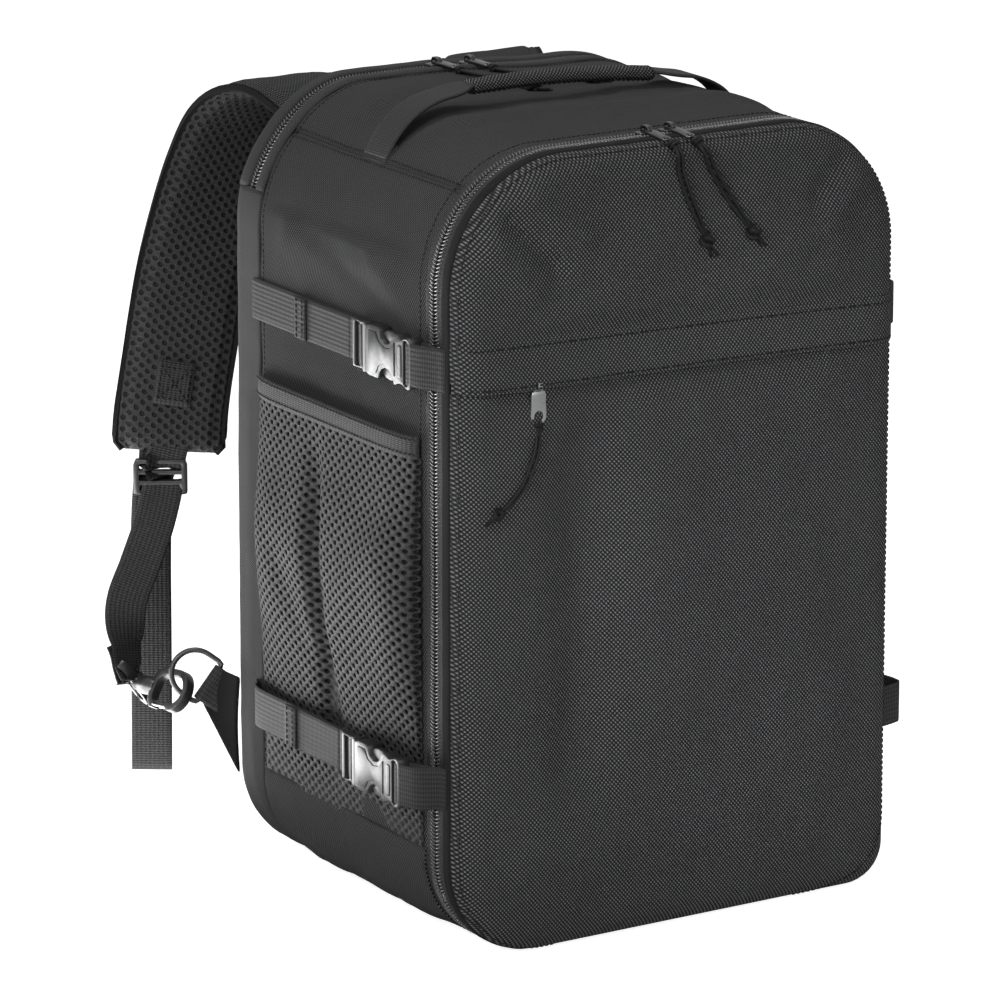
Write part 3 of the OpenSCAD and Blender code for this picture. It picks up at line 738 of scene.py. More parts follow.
RECIPES = {
    "cloth": lambda: twill("body_twill", finish().cloth),
    "front_cloth": lambda: twill("front_twill", finish().cloth, 1.75, 42, (0.03, 6.3), 96, 0.85),
    "lining": lambda: twill("lining_cloth", (0.1, 0.1, 0.104), 0.8, 0, (0.8, 1.2)),
    "plain": lambda: twill("plain_trim", (0.018, 0.018, 0.018), 1.0, 45, (0.5, 1.8)),
    "binding": lambda: herringbone("herringbone_binding", finish().trim),
    "elastic": lambda: ribbed("elastic_binding", finish().trim, 1.1, 3.2),
    "webbing": lambda: ribbed("ribbed_webbing", finish().webbing),
    "tape": lambda: ribbed("zip_tape", (0.02, 0.02, 0.02), 0.9, 1.4),
    "mesh": lambda: yarn("spacer_mesh", finish().mesh),
    "pad_mesh": lambda: perforated("pad_spacer_mesh", finish().mesh),
    # Near-black knit for the sheet behind the side pockets' net: painted shade of the pocket's hollow seen through
    # the holes.
    "pocket_shade": lambda: yarn("mesh_backing", (0.008, 0.008, 0.008), 1.4),
    "cord": lambda: yarn("braided_cord", (0.007, 0.007, 0.007), 1.1),
    "thread": lambda: yarn("sewing_thread", (0.004, 0.004, 0.004), 0.6),
    "plastic": lambda: moulded("buckle_acetal", finish().plastic),
    "coil": lambda: nylon("zip_coil_nylon", (0.045, 0.045, 0.045)),
    "black_metal": lambda: metal("black_painted_metal", (0.09, 0.09, 0.092), 0.2, 0.8),
    "grey_metal": lambda: metal("satin_grey_metal", (0.5, 0.5, 0.5), 0.3, 1.0),
    "board": lambda: moulded("stiffener_sheet", (0.06, 0.06, 0.06), 0.55),
}
MADE = {}


def material(key):
    if key not in MADE:
        MADE[key] = RECIPES[key]()
    return MADE[key]


# ---- Geometry Nodes: a unit repeated along a path ----
def repeat_tree():
    """Instances a unit along the path at a pitch: its x runs along the path and its y across it."""
    tree = bpy.data.node_groups.get("repeat_along")
    if tree:
        return tree
    tree = bpy.data.node_groups.new("repeat_along", "GeometryNodeTree")
    face = tree.interface
    face.new_socket("Path", in_out="INPUT", socket_type="NodeSocketGeometry")
    face.new_socket("Unit", in_out="INPUT", socket_type="NodeSocketObject")
    face.new_socket("Pitch", in_out="INPUT", socket_type="NodeSocketFloat")
    face.new_socket("Across", in_out="INPUT", socket_type="NodeSocketVector")
    face.new_socket("Finish", in_out="INPUT", socket_type="NodeSocketMaterial")
    face.new_socket("Geometry", in_out="OUTPUT", socket_type="NodeSocketGeometry")
    add, link = tree.nodes.new, tree.links.new
    ins, out = add("NodeGroupInput"), add("NodeGroupOutput")
    curve = add("GeometryNodeMeshToCurve")
    even = add("GeometryNodeCurveToPoints")
    even.mode = "LENGTH"
    along = add("FunctionNodeAlignEulerToVector")
    along.axis = "X"
    over = add("FunctionNodeAlignEulerToVector")
    over.axis = "Y"
    over.pivot_axis = "X"
    unit = add("GeometryNodeObjectInfo")
    put = add("GeometryNodeInstanceOnPoints")
    real = add("GeometryNodeRealizeInstances")
    paint = add("GeometryNodeSetMaterial")
    link(ins.outputs["Path"], curve.inputs[0])
    link(curve.outputs[0], even.inputs["Curve"])
    link(ins.outputs["Pitch"], even.inputs["Length"])
    link(even.outputs["Tangent"], along.inputs["Vector"])
    link(along.outputs[0], over.inputs["Rotation"])
    link(ins.outputs["Across"], over.inputs["Vector"])
    link(ins.outputs["Unit"], unit.inputs["Object"])
    link(even.outputs["Points"], put.inputs["Points"])
    link(unit.outputs["Geometry"], put.inputs["Instance"])
    link(over.outputs[0], put.inputs["Rotation"])
    link(put.outputs[0], real.inputs[0])
    link(real.outputs[0], paint.inputs["Geometry"])
    link(ins.outputs["Finish"], paint.inputs["Material"])
    link(paint.outputs[0], out.inputs[0])
    return tree


def repeated(name, points, across, unit, pitch, key):
    """The unit repeated along a path of millimetre points, as one mesh."""
    obj = new_object(name, points, [], None)
    obj.data.clear_geometry()
    obj.data.from_pydata(
        [tuple(c * MM for c in p) for p in points], [(i, i + 1) for i in range(len(points) - 1)], []
    )
    mod = obj.modifiers.new("repeat", "NODES")
    mod.node_group = repeat_tree()
    ids = {i.name: i.identifier for i in mod.node_group.interface.items_tree if i.in_out == "INPUT"}
    mod[ids["Unit"]] = unit
    mod[ids["Pitch"]] = pitch * MM
    mod[ids["Across"]] = across
    mod[ids["Finish"]] = material(key)
    return baked(obj)


def bead(name, length, width, height, slant=0.0, shift=0.0, rows=6):
    """A short rounded strand along x, the unit of a stitch or a zip tooth; slant moves its far end along x."""
    verts, faces = [], []
    stations = (-0.5, -0.42, -0.2, 0.2, 0.42, 0.5)
    for f in stations:
        fat = math.sqrt(max(1 - (2 * f) ** 4, 0.0)) * 0.85 + 0.15
        for k in range(rows):
            a = 2 * math.pi * k / rows
            verts.append((f * length, width / 2 * fat * math.cos(a), height / 2 * fat * math.sin(a)))
    for i in range(len(stations) - 1):
        for k in range(rows):
            faces.append(
                (i * rows + k, i * rows + (k + 1) % rows, (i + 1) * rows + (k + 1) % rows, (i + 1) * rows + k)
            )
    faces += [tuple(range(rows - 1, -1, -1)), tuple((len(stations) - 1) * rows + k for k in range(rows))]
    verts = [(x + slant * y, y + shift, z) for x, y, z in verts]
    return outward(new_object(name, verts, faces))


def stitches(name, points, across, lift=0.25):
    unit = bead("stitch_unit", 2.5, 1.2, 0.8)
    run = repeated(name, points, across, unit, shape("stitch_pitch"), "thread")
    bpy.data.objects.remove(unit)
    return run


# ---- body cloth ----
def fades(value, low, high, edge):
    """1 well inside the range, 0 at its ends."""
    return smooth(min(value - low, high - value) / edge)


def crown(x, nz, y):
    """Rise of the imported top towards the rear, in millimetres."""
    return 6.0 * smooth((y - 12) / 112) * smooth(nz / 0.9) * smooth((HALF_W - 8 - abs(x)) / 60) * (
        1 - 0.8 * smooth((x + 30) / 90)
    )


def swell(s, y):
    """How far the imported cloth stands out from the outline, in millimetres."""
    x, z, nx, nz = rim(s)
    inner = fades(y, TAPE_Y, SEAM_Y, 42)
    if nz > 0.2:
        rise = shape("top_bulge") * inner * smooth((nz - 0.2) / 0.6) * smooth((HALF_W - 16 - abs(x)) / 70)
        rise += 0.6 * math.exp(-(((y - GRIP_Y) / 13) ** 2)) * inner * fades(abs(x), 20, 128, 26)
        rise -= 2.6 * math.exp(-(((y - GRIP_Y - 34) / 15) ** 2)) * inner * smooth((nz - 0.6) / 0.4)
        rise += 2.4 * math.exp(-(((y - GRIP_Y + 36 + 0.12 * x) / 12) ** 2)) * inner * smooth((nz - 0.6) / 0.4)
    elif z > 250:
        rise = shape("side_bulge") * inner * (fades(z, 368, 470, 30) + 0.35 * fades(z, 304, 334, 12))
        rise += 1.6 * ridge((y, z), (-70, 375), (20, 430), 9) * inner
        rise -= 1.8 * ridge((y, z), (-40, 372), (66, 412), 8) * inner
        rise += 1.4 * ridge((y, z), (88, 372), (40, 440), 8) * inner
    else:
        rise = shape("side_bulge") * 0.5 * inner * fades(z, -30, 60, 30)
    rise += crown(x, nz, y)
    rise += (
        1.5 * fold_noise(x, y, z, 46, 3.1) + 0.7 * fold_noise(x, y, z, 17, 8.2)
    ) * inner * (0.35 if 330 < z < 370 and nz < 0.2 else 1)
    pinch = math.exp(-(((y - TAPE_Y) / 5) ** 2)) + math.exp(-(((SEAM_Y - y) / 5) ** 2))
    return rise - 0.5 * pinch + 0.25 * pinch * math.sin(s / 5.5)


def body_point(s, y, lift=0.0):
    x, z, nx, nz = rim(s)
    out = swell(s, y) + lift
    return x + nx * out, y, z + nz * out


def on_body(s, y):
    return body_point(s, y, 0.1)


def wall(name, s0, s1, y0, y1, body, slot, nodes, key="cloth", size=3.2, seam=True):
    """A sewn panel of the body between two seams; its ends dip into the seams."""

    def at(s, y):
        edge = min(s - s0, s1 - s) if seam else 99
        return body_point(s, y, -0.9 * math.exp(-((edge / 2.2) ** 2)))

    near = [0, 1, 2.2, 4]
    ss = [s0 + d for d in near[:-1]] + steps(s0 + 4, s1 - 4, size) + [s1 - d for d in near[-2::-1]]
    ys = [y0, y0 + 1.2] + steps(y0 + 3, y1 - 3, size) + [y1 - 1.2, y1]
    obj = cloth_sheet(name, at, ss, ys, key, MIDDLE, SHELL_T)
    return finish_piece(obj, body, slot, *nodes)


def hinge_strip(name, y0, y1):
    """Cloth across the gap in the main zip, where the lid folds."""
    return cloth_sheet(name, on_body, steps(-ZIP_END, ZIP_END, 5), steps(y0, y1, 3), "cloth", MIDDLE, SHELL_T)


def build_body():
    ends = (AROUND - S_TOP_SEAM, AROUND - S_BASE_SEAM)
    wall(
        "left_side_cloth", S_BASE_SEAM, S_TOP_SEAM, TAPE_Y, SEAM_Y, "root", "body_fabric",
        ["left_side_panel"]
    )
    wall("right_side_cloth", *ends, TAPE_Y, SEAM_Y, "root", "body_fabric", ["right_side_panel"])
    wall("top_cloth", S_TOP_SEAM, AROUND - S_TOP_SEAM, TAPE_Y, SEAM_Y, "root", "body_fabric", ["top_panel"])
    wall("base_cloth", -S_BASE_SEAM, S_BASE_SEAM, TAPE_Y, SEAM_Y, "root", "body_fabric", ["bottom_panel"])
    finish_piece(hinge_strip("base_strip", ZIP_Y + 0.3, TAPE_Y + 1), "root", "body_fabric")


def build_seams():
    """Cords of stitching where the panels meet."""
    rows = []
    for s in (S_BASE_SEAM, S_TOP_SEAM, AROUND - S_TOP_SEAM, AROUND - S_BASE_SEAM):
        for d in (-2.6, 2.6):
            line = [body_point(s + d, y, 0.1) for y in steps(TAPE_Y + 2, SEAM_Y - 2, 6)]
            rows.append(stitches("panel_stitch", line, rim_out(s + d), 0.3))
    for y in (TAPE_Y + 6.5, SEAM_Y - 4):
        line = [body_point(s, y, 0.15) for s in steps(ZIP_END + 4, AROUND - ZIP_END - 4, 6)]
        rows.append(stitches("rim_stitch", line, (0, 1, 0), 0.3))
    finish_piece(joined(rows, "body_stitches"), "root", "body_fabric")


def rim_out(s):
    """The direction along the outline at s, across a stitch that runs along y."""
    x, z, nx, nz = rim(s)
    return (nz, 0, -nx)


def upper_s():
    """Where the outline passes the height at which the laptop zip ends, on the left."""
    return side_s(BODY_H - TOP_R) + TOP_R * math.asin((LAPTOP_LOW - (BODY_H - TOP_R)) / TOP_R)


def build_rear():
    """The ribbed band round the rear seam and the back cloth."""
    s1 = upper_s()
    parts = []

    def band(name, s0, s2, y0, y1, wide):
        def at(s, y):
            x, z, nx, nz = rim(s)
            t = (y - y0) / (y1 - y0)
            out = 1.1 * (1 - (2 * t - 1) ** 4) + 0.35 * fold_noise(x, y, z, 14, 5.0)
            bag = 2.2 * fades(z, 10, 330, 80) * fades(y, y0, y1, 12) if wide else 0
            back = 3.0 * smooth((y - BACK_Y + 8) / 10) if wide else 2.2 * smooth((y - BACK_Y + 5) / 7)
            out += crown(x, nz, y)
            return x + nx * (out + bag - back), y, z + nz * (out + bag - back)

        centre = (0, (y0 + y1) / 2, BODY_H / 2)
        return cloth_sheet(name, at, steps(s0, s2, 3.2), steps(y0, y1, 2.4), "binding", centre, 1.3)

    parts.append(band("low_band", -s1, s1, SEAM_Y - 0.5, BACK_Y + 1.5, True))
    parts.append(band("zip_band", s1, AROUND - s1, SEAM_Y - 0.5, LAPTOP_Y - 3.8, False))
    finish_piece(joined(parts, "rear_band"), "root", "trim_fabric", "rear_gusset")
    top = band("back_band", s1, AROUND - s1, LAPTOP_Y + 3.8, BACK_Y + 1.5, False)
    verts, uvs, faces = [], [], []
    ss = steps(0, AROUND, 6)[:-1]
    ts = [0, 0.02, 0.06, 0.12, 0.2, 0.3, 0.42, 0.55, 0.7, 0.85, 1]
    for s in ss:
        x, z, nx, nz = rim(s)
        rise = crown(x, nz, BACK_Y) - 2.5
        x, z = x + nx * rise, z + nz * rise
        mx, mz = 0, min(max(z, 150), BODY_H - 150)
        for t in ts:
            px, pz = x + (mx - x) * t, z + (mz - z) * t
            verts.append(
                (
                    px,
                    BACK_Y + 0.6 + 1.8 * smooth(t / 0.1) + 0.8 * fold_noise(px, 0, pz, 60, 2.0) * smooth(t / 0.1),
                    pz
                )
            )
            uvs.append((px, pz))
    n, m = len(ts), len(ss)
    for i in range(m):
        for k in range(n - 1):
            faces.append((i * n + k, (i + 1) % m * n + k, (i + 1) % m * n + k + 1, i * n + k + 1))
    cloth = new_object("back_face", verts, faces, uvs, material("cloth"))
    point_away(cloth, (0, 0, BODY_H / 2))
    thicken(cloth, 2.5, -1, 0)
    baked(cloth)
    back = joined([cloth, top], "back_cloth")
    finish_piece(back, "root", "body_fabric", "back_panel")


def build_back_pads():
    """Two cushions of spacer mesh against the back, with a channel between them."""
    low, high = span("back_pads")
    inner = min(abs(v.co.x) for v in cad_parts["back_pads"].data.vertices) / MM
    width, depth = high.x - inner, high.y - BACK_Y
    for side in (-1, 1):
        def at(u, v):
            edge = min(u, width - u, v, high.z - low.z - v)
            t = min(max(edge / 26, 0), 1)
            quilt = 2.4 * sum(math.exp(-(((v - q) / 6) ** 2)) for q in (115, 230)) * smooth(edge / 20)
            return side * (inner + u), BACK_Y + 1.8 + (depth - 2) * math.sqrt(1 - (1 - t) ** 2) - quilt, low.z + v

        near = [0, 0.6, 1.6, 3.5, 6, 10]
        us = near + steps(15, width - 15, 5) + [width - d for d in reversed(near)]
        vs = near + steps(15, high.z - low.z - 15, 5) + [high.z - low.z - d for d in reversed(near)]
        pad = cloth_sheet(hand(side) + "_back_pad", at, us, vs, "pad_mesh", MIDDLE, 1.4)
        finish_piece(pad, "root", "spacer_mesh", "back_pads")


def outline_sheet(name, inset, y0, y1, key):
    """A flat sheet inside the outline, with a rounded edge."""
    pts = [rim(s) for s in steps(0, AROUND, 8)[:-1]]
    ring = [(x - nx * inset, z - nz * inset) for x, z, nx, nz in pts]
    obj = plate(name, ring, y0, y1, key, bevel=0.4)
    return placed(obj, UPRIGHT)


def build_inside():
    low, high = span("divider")
    finish_piece(outline_sheet("divider_panel", 3.5, low.y, high.y, "lining"), "root", "lining", "divider")
    low, high = span("base_board")
    board = plate(
        "base_sheet", round_rect(low.x, high.x, low.y, high.y, 6), low.z, high.z, "board", bevel=0.5
    )
    finish_piece(board, "root", "stiffener", "base_board")
    low, high = span("lid_lining")
    finish_piece(
        outline_sheet("lid_inner_lining", 3.5, low.y, high.y, "lining"), "lid", "lining", "lid_lining"
    )
    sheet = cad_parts["frame_sheet"]
    sheet.data.materials.clear()
    sheet.data.materials.append(material("board"))


# ---- lid cloth ----
def half_width(z):
    """Half the width of the outline at the height z."""
    if z > BODY_H - TOP_R:
        return HALF_W - TOP_R + math.sqrt(max(TOP_R**2 - (z - BODY_H + TOP_R) ** 2, 0))
    if z < BASE_R:
        return HALF_W - BASE_R + math.sqrt(max(BASE_R**2 - (BASE_R - z) ** 2, 0))
    return HALF_W


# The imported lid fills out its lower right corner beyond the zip's curve.
CORNER_R = 26


def right_width(z):
    """Width of the front cloth to the right of the middle."""
    if z < CORNER_R:
        return HALF_W - CORNER_R + math.sqrt(max(CORNER_R**2 - (CORNER_R - z) ** 2, 0))
    return HALF_W if z < BASE_R else half_width(z)


def depth(x, z):
    """Distance of a point of the front inwards from the outline."""
    ax = abs(x)
    if x > 0 and z < BASE_R:
        if z < CORNER_R and ax > HALF_W - CORNER_R:
            return CORNER_R - math.hypot(ax - HALF_W + CORNER_R, CORNER_R - z)
        return min(HALF_W - ax, z)
    if z > BODY_H - TOP_R and ax > HALF_W - TOP_R:
        return TOP_R - math.hypot(ax - HALF_W + TOP_R, z - BODY_H + TOP_R)
    if z < BASE_R and ax > HALF_W - BASE_R:
        return BASE_R - math.hypot(ax - HALF_W + BASE_R, BASE_R - z)
    return min(HALF_W - ax, BODY_H - z, z)


# Folds of the front cloth, each from a point to a point with its half width and its height.
FRONT_FOLDS = (
    ((-134, 424), (-98, 392), 8, 3.6),
    ((-122, 440), (-84, 402), 5, -4.2),
    ((-108, 450), (-66, 418), 9, 3.0),
    ((126, 436), (92, 408), 8, 3.0),
    ((112, 450), (84, 424), 6, -3.4),
    ((-100, 410), (-92, 378), 22, -2.6),
    ((40, 440), (70, 390), 26, 2.2),
    ((-66, 326), (-74, 90), 26, -9.5),
    ((-122, 300), (-126, 90), 14, 1.5),
    ((-8, 290), (-20, 110), 34, 3.0),
    ((84, 330), (110, 150), 24, -2.6),
    ((30, 320), (60, 200), 22, 1.5),
    ((-120, 60), (-60, 24), 9, 2.0),
    ((-104, 54), (-52, 30), 7, -2.2),
    ((-40, 22), (60, 15), 9, 1.4),
    ((50, 60), (112, 40), 12, -1.6),
    ((20, 318), (34, 286), 7, -1.1),
    ((-92, 322), (-104, 280), 8, -1.4),
)


def front_y(x, z):
    """The y of the lid's outer cloth."""
    d = max(depth(x, z), 0)
    t = min(d / 15, 1)
    out = (BAND_Y - FRONT_Y) * math.sqrt(1 - (1 - t) ** 2)
    inner = smooth((d - 4) / 60)
    flap = 1 - fades(z, FLAP_LOW.z - 22, FLAP_HIGH.z + 16, 20) * smooth((HALF_W - 10 - abs(x)) / 12)
    puff = shape("front_bulge") * inner * (1.0 if z < FLAP_LOW.z else 0.8)
    folds = sum(h * ridge((x, z), a, b, w) for a, b, w, h in FRONT_FOLDS) * smooth(d / 16)
    rough = (1.8 * fold_noise(x, 0, z, 60, 4.0) + 0.7 * fold_noise(x, 0, z, 19, 1.0)) * smooth(d / 12)
    return BAND_Y - out - (puff + folds + rough) * flap


def front_cloth(name, z0, z1, key):
    edge = [0, 0.3, 0.9, 2, 3.6, 6, 9, 12.5]
    zs = steps(z0, z1, 3.2)
    if z1 >= BODY_H:
        zs = steps(z0, z1 - 16, 3.2) + [z1 - d for d in reversed(edge)]
    if z0 <= 0:
        zs = edge + steps(16, z1, 3.2)
    mid = [i / 80 for i in range(-40, 41)]
    verts, uvs = [], []
    for z in zs:
        w, r = half_width(z), right_width(z)
        xs = [-w + d for d in edge] + [
            -w + 16 + (m + 0.5) * (w + r - 32) for m in mid
        ] + [r - d for d in reversed(edge)]
        for x in xs:
            verts.append((x, front_y(x, z), z))
            uvs.append((x, z))
        verts.append((w, BAND_Y + 0.6, z))
        uvs.append((w, z))
    n = len(edge) * 2 + len(mid) + 1
    faces = [
        (i * n + k, i * n + k + 1, (i + 1) * n + k + 1, (i + 1) * n + k) for i in range(len(zs) - 1)
        for k in range(n - 1)
    ]
    obj = new_object(name, verts, faces, uvs, material(key))
    point_away(obj, (0, 200, BODY_H / 2))
    thicken(obj, 1.5, -1, 0)
    return baked(obj)


def build_lid():
    gap = (span("front_panel")[0].z + span("pocket_panel")[1].z) / 2
    rail = span("front_panel")[0].z - gap
    finish_piece(
        front_cloth("front_cloth", gap + rail, BODY_H, "front_cloth"), "lid", "body_fabric", "front_panel"
    )
    finish_piece(
        front_cloth("pocket_cloth", 0, gap - rail, "front_cloth"), "lid", "body_fabric", "pocket_panel"
    )

    def band(s, y):
        x, z, nx, nz = rim(s)
        t = (y - BAND_Y + 3) / (TAPE_FRONT - BAND_Y + 3)
        out = 1.0 * (1 - (2 * t - 1) ** 4) - 0.3 + 0.25 * fold_noise(x, y, z, 12, 9)
        return x + nx * out, y, z + nz * out

    ys = steps(BAND_Y - 3, TAPE_FRONT + 0.6, 1.4)
    ring = cloth_sheet("rim_band", band, steps(0, AROUND, 3.2), ys, "plain", (0, BAND_Y, BODY_H / 2), 1.2)
    strip = hinge_strip("hinge_strip", TAPE_FRONT, ZIP_Y - 0.3)
    finish_piece(joined([ring, strip], "lid_binding"), "lid", "trim_fabric", "lid_gusset")

    x1 = HALF_W - 1.5

    def flap_line(x):
        """Height of the flap's sewn top edge and of its fold; both sink a little towards the right."""
        sag = 1.6 * math.sin((x + 60) / 70)
        return FLAP_HIGH.z + 3 - 8 * (x + x1) / (2 * x1) + 0.3 * sag, FLAP_LOW.z + 1 - 6 * (x + x1) / (2 * x1) + 0.6 * sag

    def flap(x, t):
        top, low = flap_line(x)
        z = top + (low - top) * t
        ends = smooth((x1 - abs(x)) / 24)
        roll = (BAND_Y - FRONT_Y) * (1 - math.sqrt(1 - (1 - min((HALF_W - abs(x)) / 15, 1)) ** 2))
        out = 0.6 + (
            4.4 * smooth(t / 0.8) + 0.5 * math.sin(t * math.pi)
        ) * (0.3 + 0.7 * ends) + 0.7 * fold_noise(x, 0, z, 28, 7) * t
        return x, FRONT_Y + roll - out, z

    ts = [0, 0.04, 0.1, 0.18, 0.28, 0.4, 0.52, 0.64, 0.76, 0.88, 0.95, 1]
    cloth = grid(
        "flap", flap, [-x1, -x1 + 0.8, -x1 + 2] + steps(-x1 + 4, x1 - 4, 3) + [x1 - 2, x1 - 0.8, x1], ts,
        material("front_cloth")
    )
    lay_uv(cloth, lambda co: (co.x, co.z))
    point_away(cloth, (0, 200, BODY_H / 2))
    thicken(cloth, 2.2, -1, 1)
    baked(cloth)
    ends = [cloth]
    for side in (-1, 1):
        xs = [
            side * (span("pocket_zip")[1].x - 3 + k * (HALF_W - span("pocket_zip")[1].x + 2.4) / 12)
            for k in range(13)
        ]
        end = grid(
            "zip_end_patch", lambda x, z: (x, front_y(x, z) + 0.9, z), xs, steps(gap - 9, gap + 9, 2.5),
            material("front_cloth")
        )
        point_away(end, (0, 200, BODY_H / 2))
        ends.append(end)
    cloth = joined(ends, "flap")
    finish_piece(cloth, "lid", "body_fabric", "zip_flap")
    run = [(x, flap(x, 0.16)[1] - 0.15, flap(x, 0.16)[2]) for x in steps(-x1 + 5, x1 - 5, 4)]
    lines = [stitches("flap_stitch", run, (0, 0, 1))]
    hem = [(x, flap(x, 0.9)[1] - 0.15, flap(x, 0.9)[2]) for x in steps(-x1 + 5, x1 - 5, 4)]
    lines.append(stitches("flap_hem_stitch", hem, (0, 0, 1)))
    edge = []
    for s in steps(ZIP_END, AROUND - ZIP_END, 5):
        x, z, nx, nz = rim(s)
        d = 2.2
        edge.append((x - nx * d, front_y(x - nx * d, z - nz * d) - 0.3, z - nz * d))
    lines.append(stitches("edge_stitch", edge, (0, 1, 0)))
    finish_piece(joined(lines, "lid_stitches"), "lid", "body_fabric")


# ---- zips ----
def tooth(name, side, reach=5.0, base=0.3):
    """One turn of the coil: a strand across the zip, slanted so that two rows make a V."""
    obj = bead(name, reach, 1.55, 1.9)
    m = Matrix(((0.42 * side, 1, 0, 0), (1, 0, 0, 0), (0, 0, 1, 0), (0, 0, 0, 1)))
    m.translation = Vector((0, side * (base + reach / 2) * MM, 0))
    obj.data.transform(m)
    return outward(obj)


def coil(name, line, across, side, tape_from, tape_to, faces_out):
    """A row of teeth on one side of a zip's line, with its tape. Points of the line are (point, out)."""
    unit = tooth("tooth_unit", side)
    teeth = repeated(name + "_teeth", [p for p, out in line], across, unit, shape("tooth_pitch"), "coil")
    bpy.data.objects.remove(unit)
    a = Vector(across)
    rows = [
        [
            p + a * side * f + Vector(out) * lift for f,
            lift in ((tape_from, -0.5), (tape_from + 1.6, 0.1), (tape_to - 1, 0.1), (tape_to, 0))
        ] for p,
        out in line
    ]
    verts = [q for row in rows for q in row]
    faces = [
        (i * 4 + k, i * 4 + k + 1, i * 4 + k + 5, i * 4 + k + 4) for i in range(len(rows) - 1)
        for k in range(3)
    ]
    run = [0]
    for i in range(1, len(line)):
        run.append(run[-1] + (line[i][0] - line[i - 1][0]).length)
    tape = new_object(
        name + "_tape", verts, faces,
        [(run[i], f) for i in range(len(line)) for f in (tape_from, tape_from + 1.6, tape_to - 1, tape_to)],
        material("tape")
    )
    centre = sum((p for p, out in line), Vector()) / len(line)
    point_away(tape, centre if not faces_out else centre - Vector(line[0][1]) * 50)
    thicken(tape, 0.7, -1, 0)
    return joined([teeth, baked(tape)], name)


def rim_line(s0, s1, y, lift):
    out = []
    for s in steps(s0, s1, 3):
        x, z, nx, nz = rim(s)
        up = lift + (crown(x, nz, y) if y > 0 else 0)
        out.append((Vector((x + nx * up, y, z + nz * up)), (nx, 0, nz)))
    return out


def build_zips():
    line = rim_line(ZIP_END, AROUND - ZIP_END, ZIP_Y, -0.4)
    front = coil("front_coil", line, (0, 1, 0), -1, 1.0, 9.0, False)
    finish_piece(front, "lid", "zip_coil", "main_zip_front")
    rear = coil("rear_coil", line, (0, 1, 0), 1, 1.0, 9.0, False)
    finish_piece(rear, "root", "zip_coil", "main_zip_rear")
    s1 = upper_s()
    line = rim_line(s1, AROUND - s1, LAPTOP_Y, -0.9)
    sides = [coil("laptop_coil", line, (0, 1, 0), k, 0.8, 5.2, False) for k in (-1, 1)]
    finish_piece(joined(sides, "laptop_coil"), "root", "zip_coil", "laptop_zip")
    low, high = span("pocket_zip")
    z = (low.z + high.z) / 2
    line = [(Vector((x, FRONT_Y + 0.9, z)), (0, -1, 0)) for x in steps(high.x, low.x, 3)]
    sides = [coil("pocket_coil", line, (0, 0, 1), k, 0.8, 6, True) for k in (-1, 1)]
    finish_piece(joined(sides, "pocket_coil"), "lid", "zip_coil", "pocket_zip")


# ---- mesh side pockets ----
def pocket_out(y, z, side=-1):
    """How far a side pocket stands out from the side panel: two lobes with a dart between them."""
    low, high = POCKET
    rise = 16.5 * smooth((z - low.z) / (high.z * 0.6)) - 9.0 * smooth((z - high.z * 0.7) / (high.z * 0.32))
    ends = math.sqrt(max(1 - (1 - min(max(min(y - low.y, high.y - y) / 34, 0), 1)) ** 2, 0))
    dart = -8.0 * math.exp(-(((y - 22 - 0.06 * (z - 180)) / 8) ** 2)) * fades(z, 66, 300, 70)
    slack = (
        1.6 * fold_noise(y, z, 0, 40, 6.0 + side)
        + 1.3 * ridge((y, z), (-60, 250), (30, 160), 9) - 1.3 * ridge((y, z), (90, 240), (20, 130), 9)
    ) * fades(z, 62, 290, 40)
    return 0.7 + max(rise + dart + slack, 0) * ends


def lace(name, point, u0, u1, v0, v1, pitch, key):
    """A knitted net: yarns round staggered oval holes, on the surface point(u, v)."""
    nu, nv = int((u1 - u0) / (pitch * 1.5)), int((v1 - v0) / (pitch * 0.61))
    verts, uvs, faces, index = [], [], [], {}
    du, dv = (u1 - u0) / nu, (v1 - v0) / nv
    corners = ((-1 / 2, -1 / 3), (-1 / 2, 1 / 3), (0, 2 / 3), (1 / 2, 1 / 3), (1 / 2, -1 / 3), (0, -2 / 3))

    def vert(u, v):
        k = (round(u * 50), round(v * 50))
        if k not in index:
            index[k] = len(verts)
            verts.append(point(u, v))
            uvs.append((u, v))
        return index[k]

    for j in range(nv):
        for i in range(nu):
            cu, cv = u0 + (i + (0.75 if j % 2 else 0.25)) * du, v0 + (j + 0.5) * dv
            outer, inner = [], []
            for k in range(6):
                a, b = corners[k], corners[(k + 1) % 6]
                for f in (0, 0.5):
                    ou, ov = a[0] + (b[0] - a[0]) * f, a[1] + (b[1] - a[1]) * f
                    outer.append(vert(min(max(cu + ou * du, u0), u1), min(max(cv + ov * dv, v0), v1)))
                    turn = math.atan2(ov * dv, ou * du)
                    iu, iv = cu + 0.31 * pitch * math.cos(turn), cv + 0.29 * pitch * math.sin(turn)
                    inner.append(vert(min(max(iu, u0), u1), min(max(iv, v0), v1)))
            for k in range(12):
                n = (k + 1) % 12
                if len({outer[k], outer[n], inner[n], inner[k]}) == 4:
                    faces.append((outer[k], outer[n], inner[n], inner[k]))
    obj = new_object(name, verts, faces, uvs, material(key))
    return obj


